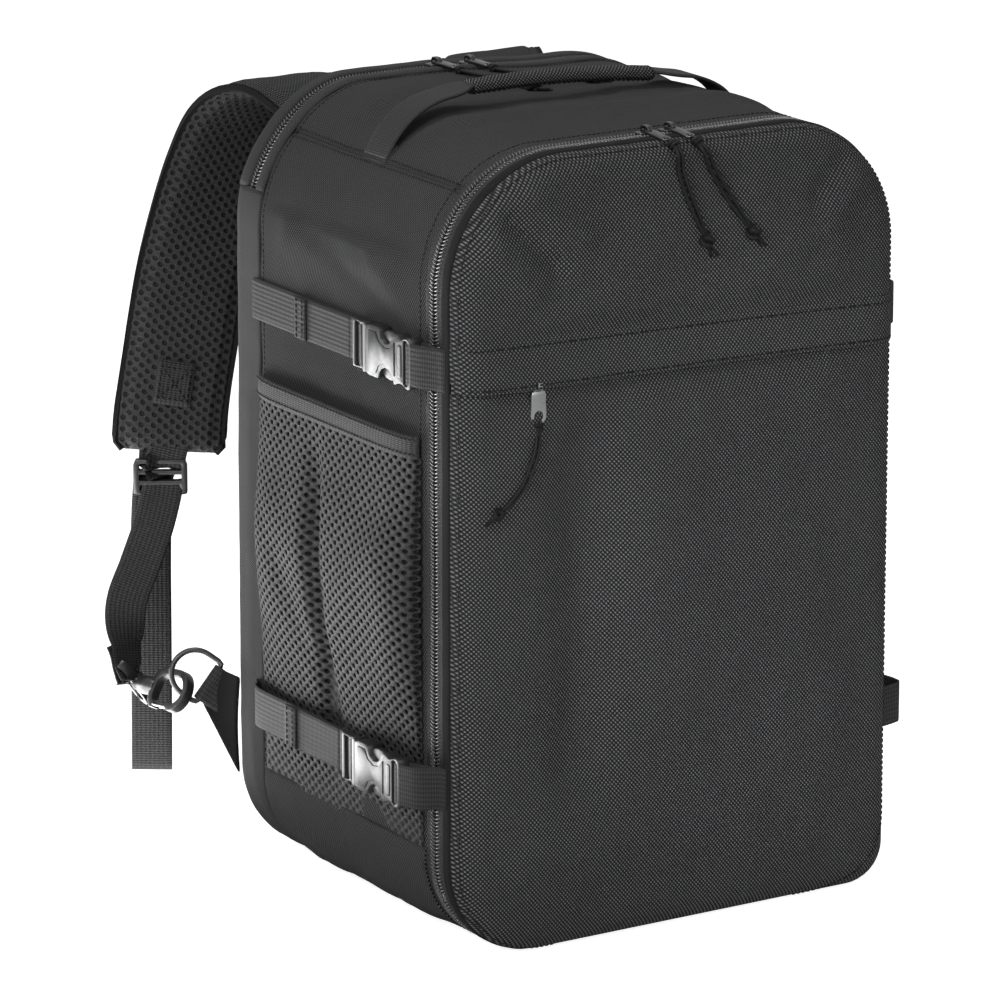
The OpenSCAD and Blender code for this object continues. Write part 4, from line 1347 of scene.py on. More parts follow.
def build_pockets():
    low, high = POCKET
    for side in (-1, 1):
        word = hand(side)

        def skin(u, v):
            return side * (HALF_W + pocket_out(u, v, side)), u, v

        # A dark sheet just inside the net, standing in for the shaded hollow of the pocket: painted shade, not a
        # layer of the bag.
        def lining(u, v):
            return side * (HALF_W + max(pocket_out(u, v, side) - 2.2, 0.4)), u, v

        p = shape("hole_pitch")
        net = lace("net", skin, low.y, high.y, low.z, high.z, p, "mesh")
        point_away(net, (0, 10, 200))
        thicken(net, 1.0, -1, 0)
        us, vs = steps(low.y + 1, high.y - 1, 5), steps(low.z, high.z, 6)
        back = cloth_sheet("net_back", lining, us, vs, "pocket_shade", (0, 10, 200), 0.4)
        both = joined([baked(net), back], word + "_mesh_pocket_net")
        finish_piece(both, "root", "spacer_mesh", word + "_mesh_pocket")

        def hem(t, y):
            x, py, z = body_point(side_s(low.z + 3) - t, y, 1.0 + 0.5 * fades(t, 0, 50, 12))
            return -side * x, py, z

        ys = steps(TAPE_Y + 2, SEAM_Y - 2, 4)
        foot = cloth_sheet("foot", hem, steps(0, 52, 3), ys, "cloth", (0, 10, 60), 1.4)
        finish_piece(foot, "root", "body_fabric")

    def rimmed(y, z):
        t = (z - BIND[0].z) / (BIND[1].z - BIND[0].z)
        return -(
            HALF_W + pocket_out(y, BIND[0].z - 2) * (1 - 0.1 * t) + 1.1 + 0.7 * math.sin(math.pi * t)
        ), y, z

    zs = steps(BIND[0].z - 1, BIND[1].z, 2)
    parts = [
        cloth_sheet(
            "left_binding", rimmed, steps(low.y, high.y, 4), zs, "elastic", (0, 10, BIND[0].z), 2.4, -1, 1
        )
    ]
    for z in (BIND[0].z + 2.2, BIND[1].z - 2.2):
        run = [rimmed(y, z) for y in steps(low.y + 2, high.y - 2, 4)]
        parts.append(stitches("binding_stitch", [(x - 0.4, y, q) for x, y, q in run], (0, 0, 1)))
    left = joined(parts, "left_pocket_binding")
    right = mirrored(left, "right_pocket_binding")
    for obj in (left, right):
        finish_piece(obj, "root", "trim_fabric", "pocket_bindings")


POCKET = span("left_mesh_pocket")
BIND = span("pocket_bindings")


# ---- buckles. Plates lie in the bag's yz plane; their own z is the stand-off from the side ----
SIDEWAYS = Matrix(((0, 0, 1, 0), (1, 0, 0, 0), (0, 1, 0, 0), (0, 0, 0, 1)))
SOCKET_LOW, SOCKET_HIGH = span("buckle_sockets")
FRAME_BOX = span("right_upper_frame")
LOW_BOX = span("right_lower_frame")
STRAP_HI = (FRAME_BOX[0].z + FRAME_BOX[1].z) / 2
STRAP_LO = (LOW_BOX[0].z + LOW_BOX[1].z) / 2
LOW_OUT = LOW_BOX[0].x - FRAME_BOX[0].x
STRAP_END = span("compression_straps")[1].y


def set_out(obj, z, out, side):
    """Stands a plate made round the origin on the right or left side at the height z."""
    m = Matrix.Translation(Vector((HALF_W + out, 0, z))) @ SIDEWAYS
    placed(obj, m)
    if side < 0:
        obj.data.transform(Matrix.Scale(-1, 4, (1, 0, 0)))
        obj.data.flip_normals()
    return obj


def buckle_socket():
    """The female half: two half-round windows, a waist and a flared end with the loop's slot."""
    y0, y1 = SOCKET_LOW.y, SOCKET_HIGH.y
    top = [
        (y0, 12.2), (y0 + 0.8, 14.2), (y0 + 2.6, 15), (y0 + 5, 14.6), (y0 + 8, 13.4), (y0 + 11, 12.9), (y0 + 14, 13.6), (y0 + 16.5, 14.8),
        (y0 + 18.2, 14.6), (y0 + 19.0, 12.6), (y0 + 21, 9.6), (y0 + 24, 7.6), (y0 + 28, 7.2), (y0 + 31.5, 8.8), (y0 + 33.8, 11.6), (y0 + 34.6, 14.2),
        (y0 + 36, 15), (y0 + 40, 15), (y1 - 3, 14.8), (y1, 13.6),
    ]
    ring = top + [(y, -z) for y, z in reversed(top)]
    slot = round_rect(y0 + 3.2, y0 + 7.6, -13, 13, 1.2, 3)
    body = plate("socket", ring, 1.0, 9.6, "plastic", [slot], 1.3)
    face = [(y0 + 17, 10.2), (y0 + 22, 5.4), (y0 + 28, 4.6), (y0 + 34, 7), (y0 + 37, 12), (y1 - 4, 12)]
    crown = plate("crown", face + [(y, -z) for y, z in reversed(face)], 9.2, 10.2, "plastic", bevel=0.45)
    rib = plate("rib", round_rect(y0 + 9.4, y0 + 13.4, -9.5, 9.5, 1.5, 3), 9.2, 10.1, "plastic", bevel=0.4)
    return joined([body, crown, rib], "socket")


def buckle_prongs():
    """Two sprung arms with round shoulders that show in the windows, and the middle guide."""
    y0, y1 = SOCKET_LOW.y, FRAME_BOX[0].y
    arm = [(y1, 7.5), (y0 + 36, 7.0), (y0 + 28, 5.6), (y0 + 20, 5.2), (y0 + 18.8, 7.0), (y0 + 18.8, 9.5)]
    shoulder = [
        (y0 + 20, 12.4), (y0 + 22, 13.9), (y0 + 26, 14.4), (y0 + 30, 13.8), (y0 + 33, 12.2),
        (y0 + 35, 10.6), (y1, 10.8)
    ]
    parts = [plate("arm", arm + shoulder, 3.2, 7.2, "plastic", bevel=0.7)]
    parts.append(
        placed(plate("arm", arm + shoulder, 3.2, 7.2, "plastic", bevel=0.7), Matrix.Scale(-1, 4, (0, 1, 0)))
    )
    parts.append(plate("guide", round_rect(y0 + 20, y1, -1.5, 1.5, 0.6, 2), 3.4, 7.0, "plastic", bevel=0.4))
    return joined(parts, "prongs")


def buckle_frame():
    """The male half's frame with the bars that grip the strap."""
    y0, y1 = FRAME_BOX[0].y, FRAME_BOX[1].y
    ring = [
        (y0, 13.4), (y0 + 1, 14.5), (y0 + 4, 14.5), (y0 + 8, 14.0), (y1 - 3, 14.3), (y1 - 0.8, 14.5),
        (y1, 13.4)
    ]
    ring = ring + [(y, -z) for y, z in reversed(ring)]
    holes = [
        round_rect(y0 + 3.6, y0 + 7, -12.6, 12.6, 1.0, 3),
        round_rect(y0 + 9.6, y1 - 3, -12.6, 12.6, 1.0, 3)
    ]
    body = plate("frame", ring, 1.8, 7.4, "plastic", holes, 1.0)
    cross = plate("cross", round_rect(y0, y0 + 3.8, -14.4, 14.4, 1.4, 3), 1.6, 9.0, "plastic", bevel=1.1)
    ribs = [
        plate(
            "grip", round_rect(y0 + 7.2 + k * 1.1, y0 + 7.8 + k * 1.1, -12, 12, 0.2, 2), 7.2, 7.7,
            "plastic", bevel=0.2
        )
        for k in range(2)
    ]
    return joined([body, cross] + ribs, "frame")


def band_path(points, side, z, out):
    return [(side * (HALF_W + out + v), y, z) for v, y in points]


def build_buckles():
    y0 = SOCKET_LOW.y
    mid = FRAME_BOX[0].y + 8.4
    sockets, loops = [], []
    for z, out, word in ((STRAP_HI, 0, "upper"), (STRAP_LO, LOW_OUT, "lower")):
        for side in (-1, 1):
            place = "%s_%s" % (hand(side), word)
            clip = place + "_clip"
            sockets.append(set_out(buckle_socket(), z, out, side))
            prongs = set_out(buckle_prongs(), z, out, side)
            prongs.name = place + "_arms"
            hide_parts(place + "_prongs")
            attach(prongs, clip)
            frame_obj = set_out(buckle_frame(), z, out, side)
            frame_obj.name = place + "_buckle_frame"
            finish_piece(frame_obj, clip, "buckle_plastic", place + "_frame")
            turn = [
                (9.2, y0 + 4.3), (8.9, y0 + 1.2), (6.8, y0 - 6), (3.2, y0 - 13),
                (0.8 - out * 0.9, BAND_Y + 5), (0.4 - out, BAND_Y + 1)
            ]
            if side > 0:
                turn[1:5] = [(10.6, y0 + 1), (12.4, y0 - 6), (12.6, y0 - 12), (10.2, BAND_Y + 6)]
            back = [(1.5, y0 + 4.3), (1.4, y0 - 2), (0.9 - out * 0.5, y0 - 12), (-out + 0.2, BAND_Y + 3)]
            over = [(8.9, y0 + 4.4), (5.4, y0 + 5.4), (1.6, y0 + 4.4)]
            for k, line in enumerate((turn, back, over)):
                loops.append(strap("loop%d" % k, band_path(line, side, z, out), (0, 0, side), size=2.4))
            lay = [
                (1.0, mid), (0.9, mid + 12), (1.1, 0), (1.1, 50), (1.1, STRAP_END - 20),
                (0.9 - out * 0.6, STRAP_END - 9), (0.6 - out, STRAP_END - 2)
            ]
            wrap = [
                (1.2, mid + 4), (1.4, mid), (3.2, mid - 2.2), (5.2, mid - 1.4), (5.8, mid + 1.6),
                (5.0, mid + 5.0), (3.2, mid + 10), (2.8, mid + 18)
            ]
            tail = [(2.8, mid + 18), (2.8, 20), (2.9, TAIL_Y - 14), (3.6, TAIL_Y - 10), (3.7, TAIL_Y)]
            hem = [(4.4, TAIL_Y - 0.6), (4.5, TAIL_Y - 10), (4.2, TAIL_Y - 12.5)]
            layers = [
                strap("lay", band_path(line, side, z, out), (0, 0, side), size=3)
                for line in (lay, wrap, tail, hem)
            ]
            lines = []
            for y in (TAIL_Y - 2.6, TAIL_Y - 9):
                run = [(side * (HALF_W + out + 5.3), y, z + d) for d in steps(-10.5, 10.5, 4)]
                lines.append(stitches("tail_stitch", run, (0, 1, 0)))
            whole = joined(layers + lines, place + "_strap")
            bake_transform(whole)
            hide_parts("compression_straps")
    finish_piece(joined(sockets, "sockets"), "lid", "buckle_plastic", "buckle_sockets")
    finish_piece(joined(loops, "socket_loops"), "lid", "webbing", "buckle_loops")


TAIL_Y = 57


# ---- sliders, pullers and their cords ----
def slider_body(key="black_metal"):
    """A slider on teeth that run along x with their face at z = 0: two shaped plates, a post and a bridge."""
    hull = [
        (-6.4, -2.6), (-5.6, -3.6), (-1, -4.1), (3.6, -4.2), (6, -3.4), (6.5, -1.4), (6.5, 1.4), (6, 3.4),
        (3.6, 4.2), (-1, 4.1), (-5.6, 3.6), (-6.4, 2.6)
    ]
    parts = [
        plate("upper", hull, 0.1, 1.3, key, bevel=0.45), plate("under", hull, -4.5, -3.3, key, bevel=0.4)
    ]
    parts.append(plate("post", round_rect(3.2, 5.4, -0.4, 0.4, 0.3, 2), -3.4, 0.3, key, bevel=0))
    bridge = [
        (0, -3.6, 0.9), (0, -3.7, 2.6), (0, -3.0, 4.1), (0, -1.4, 4.5), (0, 1.4, 4.5), (0, 3.0, 4.1),
        (0, 3.7, 2.6), (0, 3.6, 0.9)
    ]
    parts.append(sweep("bridge", resample(bridge, 0.8), (1, 0, 0), tape_section(3.4, 1.0), material(key)))
    return joined(parts, "slider")


def puller_tab(length=24, key="black_metal", eye=False):
    """A long tab towards -Y from the pin, with a slot for the cord near its end."""
    pin = tube("pin", [(-2.7, 0, 0), (0, 0, 0), (2.7, 0, 0)], 1.8, key, 1)
    arms = [
        plate("arm", round_rect(s * 2.2 - 0.6, s * 2.2 + 0.6, -6.5, 0.5, 0.5, 2), -0.7, 0.7, key, bevel=0.3)
        for s in (-1, 1)
    ]
    tip = length
    ring = [
        (4.2, -4.6), (4.9, -7), (4.8, -12), (5.2, -17)
    ] if eye else [(3.4, -4.6), (3.6, -7), (3.3, -12), (3.3, -17)]
    end = arc_points(0, -tip + 5.2, 5.2, 0, -180, 12) if eye else arc_points(0, -tip + 4.2, 3.5, 0, -180, 10)
    outline = ring + end + [(-x, y) for x, y in reversed(ring)]
    hole = arc_points(0, -tip + 5, 3.0, 0, 330, 12) if eye else round_rect(
        -1.5, 1.5, -tip + 1.8, -tip + 5.2, 1.2, 3
    )
    tab = plate("tab", outline, -0.8, 0.8, key, [hole], 0.4)
    return joined([pin, tab] + arms, "puller")


def on_top(x, y):
    """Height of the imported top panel."""
    s = STARTS[4] + x + HALF_W - TOP_R
    return BODY_H + (swell(s, y) if TAPE_Y < y < SEAM_Y else 0)


def strand(name, points, d, body):
    """One leg of a doubled cord as a free curve."""
    data = bpy.data.curves.new(name, "CURVE")
    data.dimensions = "3D"
    data.bevel_depth = d / 2 * MM
    data.bevel_resolution = 3
    data.use_fill_caps = True
    line = data.splines.new("POLY")
    line.points.add(len(points) - 1)
    for p, q in zip(line.points, points):
        p.co = (*(c * MM for c in q), 1)
    data.materials.append(material("cord"))
    obj = bpy.data.objects.new(name, data)
    bpy.context.scene.collection.objects.link(obj)
    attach(obj, body)
    return obj


def knot(name, at, along, size, key="cord"):
    """An overhand knot with two short frayed ends."""
    t = Vector(along).normalized()
    side = t.cross(Vector((0.2, 0.3, 0.9))).normalized()
    up = side.cross(t)
    c = Vector(at)
    loop = []
    for i in range(0, 33):
        a = i / 32 * 4 * math.pi
        r = size * (0.42 + 0.16 * math.cos(1.5 * a))
        loop.append(
            c + t * (size * 0.42 * math.sin(1.5 * a)) + side * r * math.cos(a)
            + up * r * 0.85 * math.sin(a)
        )
    parts = [tube(name, loop, size * 0.5, key, 0.8, 8)]
    for k in (-1, 1):
        ends = [
            c + t * size * 0.3 + side * k * 0.8, c + t * (size * 0.9) + side * k * 1.4,
            c + t * (size * 1.5) + side * k * 1.9 + up * 0.3
        ]
        parts.append(tube("end", ends, 2.0, key, 0.8, 8))
        for i in range(7):
            a = i * 0.9
            d = side * math.cos(a) * 0.8 + up * math.sin(a) * 0.8
            q = ends[-1]
            parts.append(
                tube(
                    "fray",
                    [
                        q - t * 0.6 + d * 0.4, q + t * 0.9 + d * 0.8,
                        q + t * 1.9 + d * (1.1 + 0.2 * math.sin(i * 2))
                    ],
                    0.45, key, 0.8, 5
                )
            )
    return joined(parts, name)


def doubled_cord(name, route, normal, body, node, d=2.3, size=6.2):
    """Two legs of cord from a puller's slot down to one knot, with the hitch round the puller's end."""
    line = resample(route, 1.6)
    frames = frames_along(line, [normal] * 2)
    n = len(frames)
    legs = []
    for k in (-1, 1):
        pts = []
        for i, (q, a, m, run) in enumerate(frames):
            f = i / (n - 1)
            part = 0.62 * d * (0.35 + 0.65 * smooth(f / 0.15)) * (0.75 + 0.45 * math.sin(math.pi * f)) * (
                1 - 0.35 * smooth((f - 0.85) / 0.15)
            )
            twist = 0.5 * math.sin(run / 9.0 + 1.2)
            pts.append(tuple(q + m * k * part * math.cos(twist) + a * k * part * math.sin(twist) * 0.5))
        legs.append(pts)
    end, before = Vector(line[-1]), Vector(line[-3])
    ball = knot(name + "_knot", end + (end - before).normalized() * size * 0.35, end - before, size)
    q, a, m, run = frames[2]
    turns = []
    for i in range(26):
        t = i / 25
        ang = t * 4 * math.pi
        turns.append(
            q + (frames[3][0] - frames[1][0]).normalized() * (t * 4 - 2.4) + m * 2.5 * math.cos(ang)
            + a * 2.0 * math.sin(ang)
        )
    hitch = tube(name + "_hitch", turns, 1.9, "cord", 0.8, 8)
    extra = joined([ball, hitch], name + "_knots")
    finish_piece(extra, body, "pull_cord", node)
    start = Vector(line[0])
    for k, pts in zip(("a", "b"), legs):
        obj = strand(name + "_" + k, pts, d, body)
        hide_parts(node)


def build_sliders():
    low = span("laptop_left_slider")
    pins = PULLER_RISE
    for word, x in (("left", SLIDER_X["main_left"]), ("right", SLIDER_X["main_right"])):
        body = slider_body()
        if word == "right":
            placed(body, Matrix.Rotation(math.pi, 4, "Z"))
        placed(body, Matrix.Translation(Vector((x, ZIP_Y, BODY_H))))
        body.name = "main_%s_slider_body" % word
        finish_piece(body, "main_%s_zip_slider" % word, "zip_metal", "main_%s_slider" % word)
        tab = puller_tab()
        placed(
            tab,
            Matrix.Translation(Vector((x, ZIP_Y, BODY_H + pins))) @ Matrix.Rotation(math.radians(5), 4, "X")
        )
        tab.name = "main_%s_tab" % word
        finish_piece(tab, "main_%s_pull" % word, "zip_metal", "main_%s_puller" % word)
        x = SLIDER_X["laptop_" + word]
        body = slider_body()
        if word == "right":
            placed(body, Matrix.Rotation(math.pi, 4, "Z"))
        placed(body, Matrix.Translation(Vector((x, LAPTOP_Y, BODY_H + crown(x, 1, LAPTOP_Y)))))
        body.name = "laptop_%s_slider_body" % word
        finish_piece(body, "laptop_%s_zip_slider" % word, "zip_metal", "laptop_%s_slider" % word)
        tab = puller_tab()
        placed(tab, Matrix.Translation(Vector((x, LAPTOP_Y, BODY_H + pins + crown(x, 1, LAPTOP_Y)))))
        tab.name = "laptop_%s_tab" % word
        finish_piece(tab, "laptop_%s_pull" % word, "zip_metal", "laptop_%s_puller" % word)
    low, high = span("pocket_slider")
    z = (low.z + high.z) / 2
    m = Matrix.Translation(
        Vector(((low.x + high.x) / 2, FRONT_Y, z))
    ) @ Matrix.Rotation(math.radians(90), 4, "X")
    body = placed(slider_body("grey_metal"), m)
    body.name = "pocket_slider_body"
    finish_piece(body, "pocket_zip_slider", "zip_metal", "pocket_slider")
    tab = placed(puller_tab(24, "grey_metal", True), m @ Matrix.Translation(Vector((0, 0, pins))))
    tab.name = "pocket_tab"
    finish_piece(tab, "pocket_pull", "bright_metal", "pocket_puller")


def middle_x(node):
    low, high = span(node)
    return (low.x + high.x) / 2


SLIDER_X = {n: middle_x(n + "_slider") for n in ("main_left", "main_right", "laptop_left", "laptop_right")}
PULLER_RISE = 2.3


def build_cords():
    def down(points):
        """Lays a route on the front cloth from its third point on."""
        return [(x, y if i < 3 else front_y(x, z) - 1.9, z) for i, (x, y, z) in enumerate(points)]

    left = down(
        [
            (-8, -114.4, 467.6), (-7.4, -119.5, 465.8), (-6.8, -123.5, 461), (-5.6, 0, 453),
            (-3.4, 0, 444), (0, 0, 434), (4, 0, 424), (9, 0, 413)
        ]
    )
    doubled_cord("main_left_pull_cord", left, (0, 1, 0.2), "main_left_pull", "main_left_cord")
    right = down(
        [
            (8, -114.4, 467.6), (9, -119.5, 465.8), (11, -123.5, 461), (15, 0, 453), (20, 0, 444),
            (26, 0, 434), (32, 0, 424), (39, 0, 414)
        ]
    )
    doubled_cord("main_right_pull_cord", right, (0, 1, 0.2), "main_right_pull", "main_right_cord")

    def flat(points):
        return [(x, y, max(on_top(x, y) + 1.7, BODY_H + 2 + crown(x, 1, y))) for x, y in points]

    x = SLIDER_X["laptop_left"]
    doubled_cord(
        "laptop_left_pull_cord",
        flat([(x, 95), (x + 1, 86), (x + 3, 78), (x + 7, 69), (x + 12, 61), (x + 17, 54), (x + 21, 46)]),
        (0.2, 0, 1), "laptop_left_pull", "laptop_left_cord"
    )
    x = SLIDER_X["laptop_right"]
    doubled_cord(
        "laptop_right_pull_cord",
        flat([(x, 95), (x + 2, 86), (x + 7, 78), (x + 15, 70), (x + 24, 63), (x + 33, 57), (x + 41, 50)]),
        (0.2, 0, 1), "laptop_right_pull", "laptop_right_cord"
    )
    low, high = span("pocket_puller")
    x, z = (low.x + high.x) / 2, low.z + 3
    route = [
        (x, low.y + 0.6, z - 0.4), (x - 0.4, low.y + 0.2, z - 9), (x - 2.4, 0, z - 17),
        (x - 6, 0, z - 26), (x - 11, 0, z - 35), (x - 18, 0, z - 43), (x - 26, 0, z - 50)
    ]
    route = [(px, py if i < 2 else front_y(px, pz) - 1.9, pz) for i, (px, py, pz) in enumerate(route)]
    doubled_cord("pocket_pull_cord", route, (0, 1, 0.2), "pocket_pull", "pocket_cord", 2.0, 5.4)


# ---- shoulder harness ----
PAD_PATH = [(-54, 141.5, 392), (-54, 147, 411), (-57, 161, 431), (-63, 182, 446), (-71, 204, 452), (-80, 223, 446), (-89, 237, 429),
            (-97, 244, 402), (-107, 247, 365), (-117, 248, 325), (-126, 246, 285), (-134, 243, 250), (-137, 241, 226)]
PAD_ACROSS = [(1, 0, 0)] * 5 + [
    (1, -0.08, 0), (1, -0.18, 0), (1, -0.3, 0), (1, -0.42, 0), (1, -0.52, 0), (1, -0.6, 0), (1, -0.62, 0),
    (1, -0.62, 0)
]
PAD_W, PAD_T = 65, 12
LOCK_AT, LOCK_TURN = (-143, 241.5, 209), -31.8
STRAND = [(-144.9, 238.6, 197), (-152, 235, 182), (-164, 231, 160), (-177, 226, 136), (-185, 219, 114)]
STRAND_ACROSS = [(1, -0.62, 0), (1, -0.62, 0), (1, -0.6, -0.1), (1, -0.55, -0.2), (1, -0.5, -0.35)]
TAIL = [(-144.1, 247.4, 208), (-147, 247.4, 170), (-149, 245, 110), (-150, 244, 60), (-151, 243, 24)]
EYE_AT, HOOK_TURN, EYE_TURN = (-180.6, 210.2, 93.3), (-119.6, -6.3, -84.8), (35.5, -6.3, -84.8)
RING_AT, RING_TURN, RING_T = (-161.2, 154, 104.6), (18.3, -33.4, 137.6), 3.4


def turned(at, degrees):
    """A place and a turn about x, then y, then z."""
    x, y, z = (math.radians(a) for a in degrees)
    return Matrix.Translation(Vector(at)) @ Matrix.Rotation(z, 4, "Z") @ Matrix.Rotation(y, 4, "Y") @ Matrix.Rotation(x, 4, "X")


def both_sides(obj, name, body, slot, *nodes, ready=None):
    """The left piece and its mirror, on body names that hold left_ or right_ in place of a star."""
    other = mirrored(obj, "right_" + name)
    obj.name = "left_" + name
    for o, word in ((obj, "left"), (other, "right")):
        finish_piece(o, body.replace("*", word), slot, *[n.replace("*", word) for n in nodes])
        if ready:
            ready(o)
    return obj, other


def build_pads():
    line = resample(PAD_PATH, 4.5)
    frames = frames_along(line, PAD_ACROSS)
    total = frames[-1][3]
    half = PAD_W / 2
    rows = []
    for q, a, m, run in frames:
        end = min(run, total - run)
        wide = math.sqrt(1 - (1 - min(end / 9, 1)) ** 2) * 0.14 + 0.86
        thin = 0.3 + 0.7 * math.sqrt(1 - (1 - min(end / 12, 1)) ** 2)
        crease = 1.6 * (
            math.exp(-(((run - 66) / 5) ** 2)) + math.exp(-(((run - 92) / 4) ** 2))
            + 0.7 * math.exp(-(((run - 122) / 6) ** 2))
        )
        rows.append((q, a, m, run, wide, thin, crease))

    def skin(name, sign, key):
        verts, uvs = [], []
        profile = [i / 20 for i in range(-20, 21)]
        for q, a, m, run, wide, thin, crease in rows:
            for f in profile:
                u = half * wide * math.copysign(min(abs(f), 1) ** 0.92, f)
                lift = PAD_T / 2 * thin * (1 - abs(f) ** 5) ** 0.6
                lift -= (crease * (1 - f * f) + 0.7 * fold_noise(u, run, sign * 4, 26, 3)) * (1 - abs(f) ** 4)
                seam = 1.3 * math.exp(-(((1 - abs(f)) * half - 5.5) / 1.6) ** 2)
                verts.append(tuple(q + a * u + m * sign * max(lift - seam, 0.0)))
                uvs.append((u, run))
        n = len(profile)
        faces = [
            (i * n + k, i * n + k + 1, (i + 1) * n + k + 1, (i + 1) * n + k) for i in range(len(rows) - 1)
            for k in range(n - 1)
        ]
        return new_object(name, verts, faces, uvs, material(key))

    outer = skin("outer", PAD_OUT, "cloth")
    inner = skin("inner", -PAD_OUT, "pad_mesh")
    body = joined([outer, inner], "pad")
    outward(body, 2e-5, True)
    edges = []
    for k in (-1, 1):
        path = [tuple(q + a * k * (half * wide + 0.3)) for q, a, m, run, wide, thin, crease in rows]
        edges.append(
            sweep("pad_edge", resample(path, 5), (0.3, 0.2, 0.9), tape_section(5, 3.2), material("plain"))
        )
    both_sides(body, "shoulder_pad", "root", "strap_pad", "shoulder_pads", ready=lambda o: o)
    both_sides(joined(edges, "edge"), "pad_binding", "root", "trim_fabric", "shoulder_pads")
    near = [rows[i] for i in (-13, -11, -9, -7)]
    patch = strap("patch", [tuple(q - m * PAD_OUT * 6.4) for q, a, m, *rest in near], PAD_ACROSS[-1], 23, 1.2)
    loop = strap(
        "lock_loop",
        [
            (-138.5, 244.5, 240), (-140.8, 246, 229), (-142.6, 244.6, 219), (-142.9, 242, 216.4),
            (-141.5, 239.4, 219), (-138.5, 238.6, 230), (-137, 240, 238)
        ],
        PAD_ACROSS[-1], 24, 1.6, 2
    )
    box = [(-1, -1), (1, -1), (1, 1), (-1, 1), (-1, -1), (1, 1), (1, -1), (-1, 1)]
    q, a, m, *rest = rows[-10]
    t = (rows[-7][0] - rows[-13][0]).normalized()
    corners = [q - m * PAD_OUT * 7.6 + a * u * 9 + t * v * 9.5 for u, v in box]
    sewn = [
        stitches("patch_stitch", [tuple(corners[i]), tuple(corners[i + 1])], tuple(t.cross(m)))
        for i in range(7)
    ]
    both_sides(joined([patch, loop] + sewn, "pad_end"), "pad_end_loop", "root", "webbing", "shoulder_pads")


PAD_OUT = -1


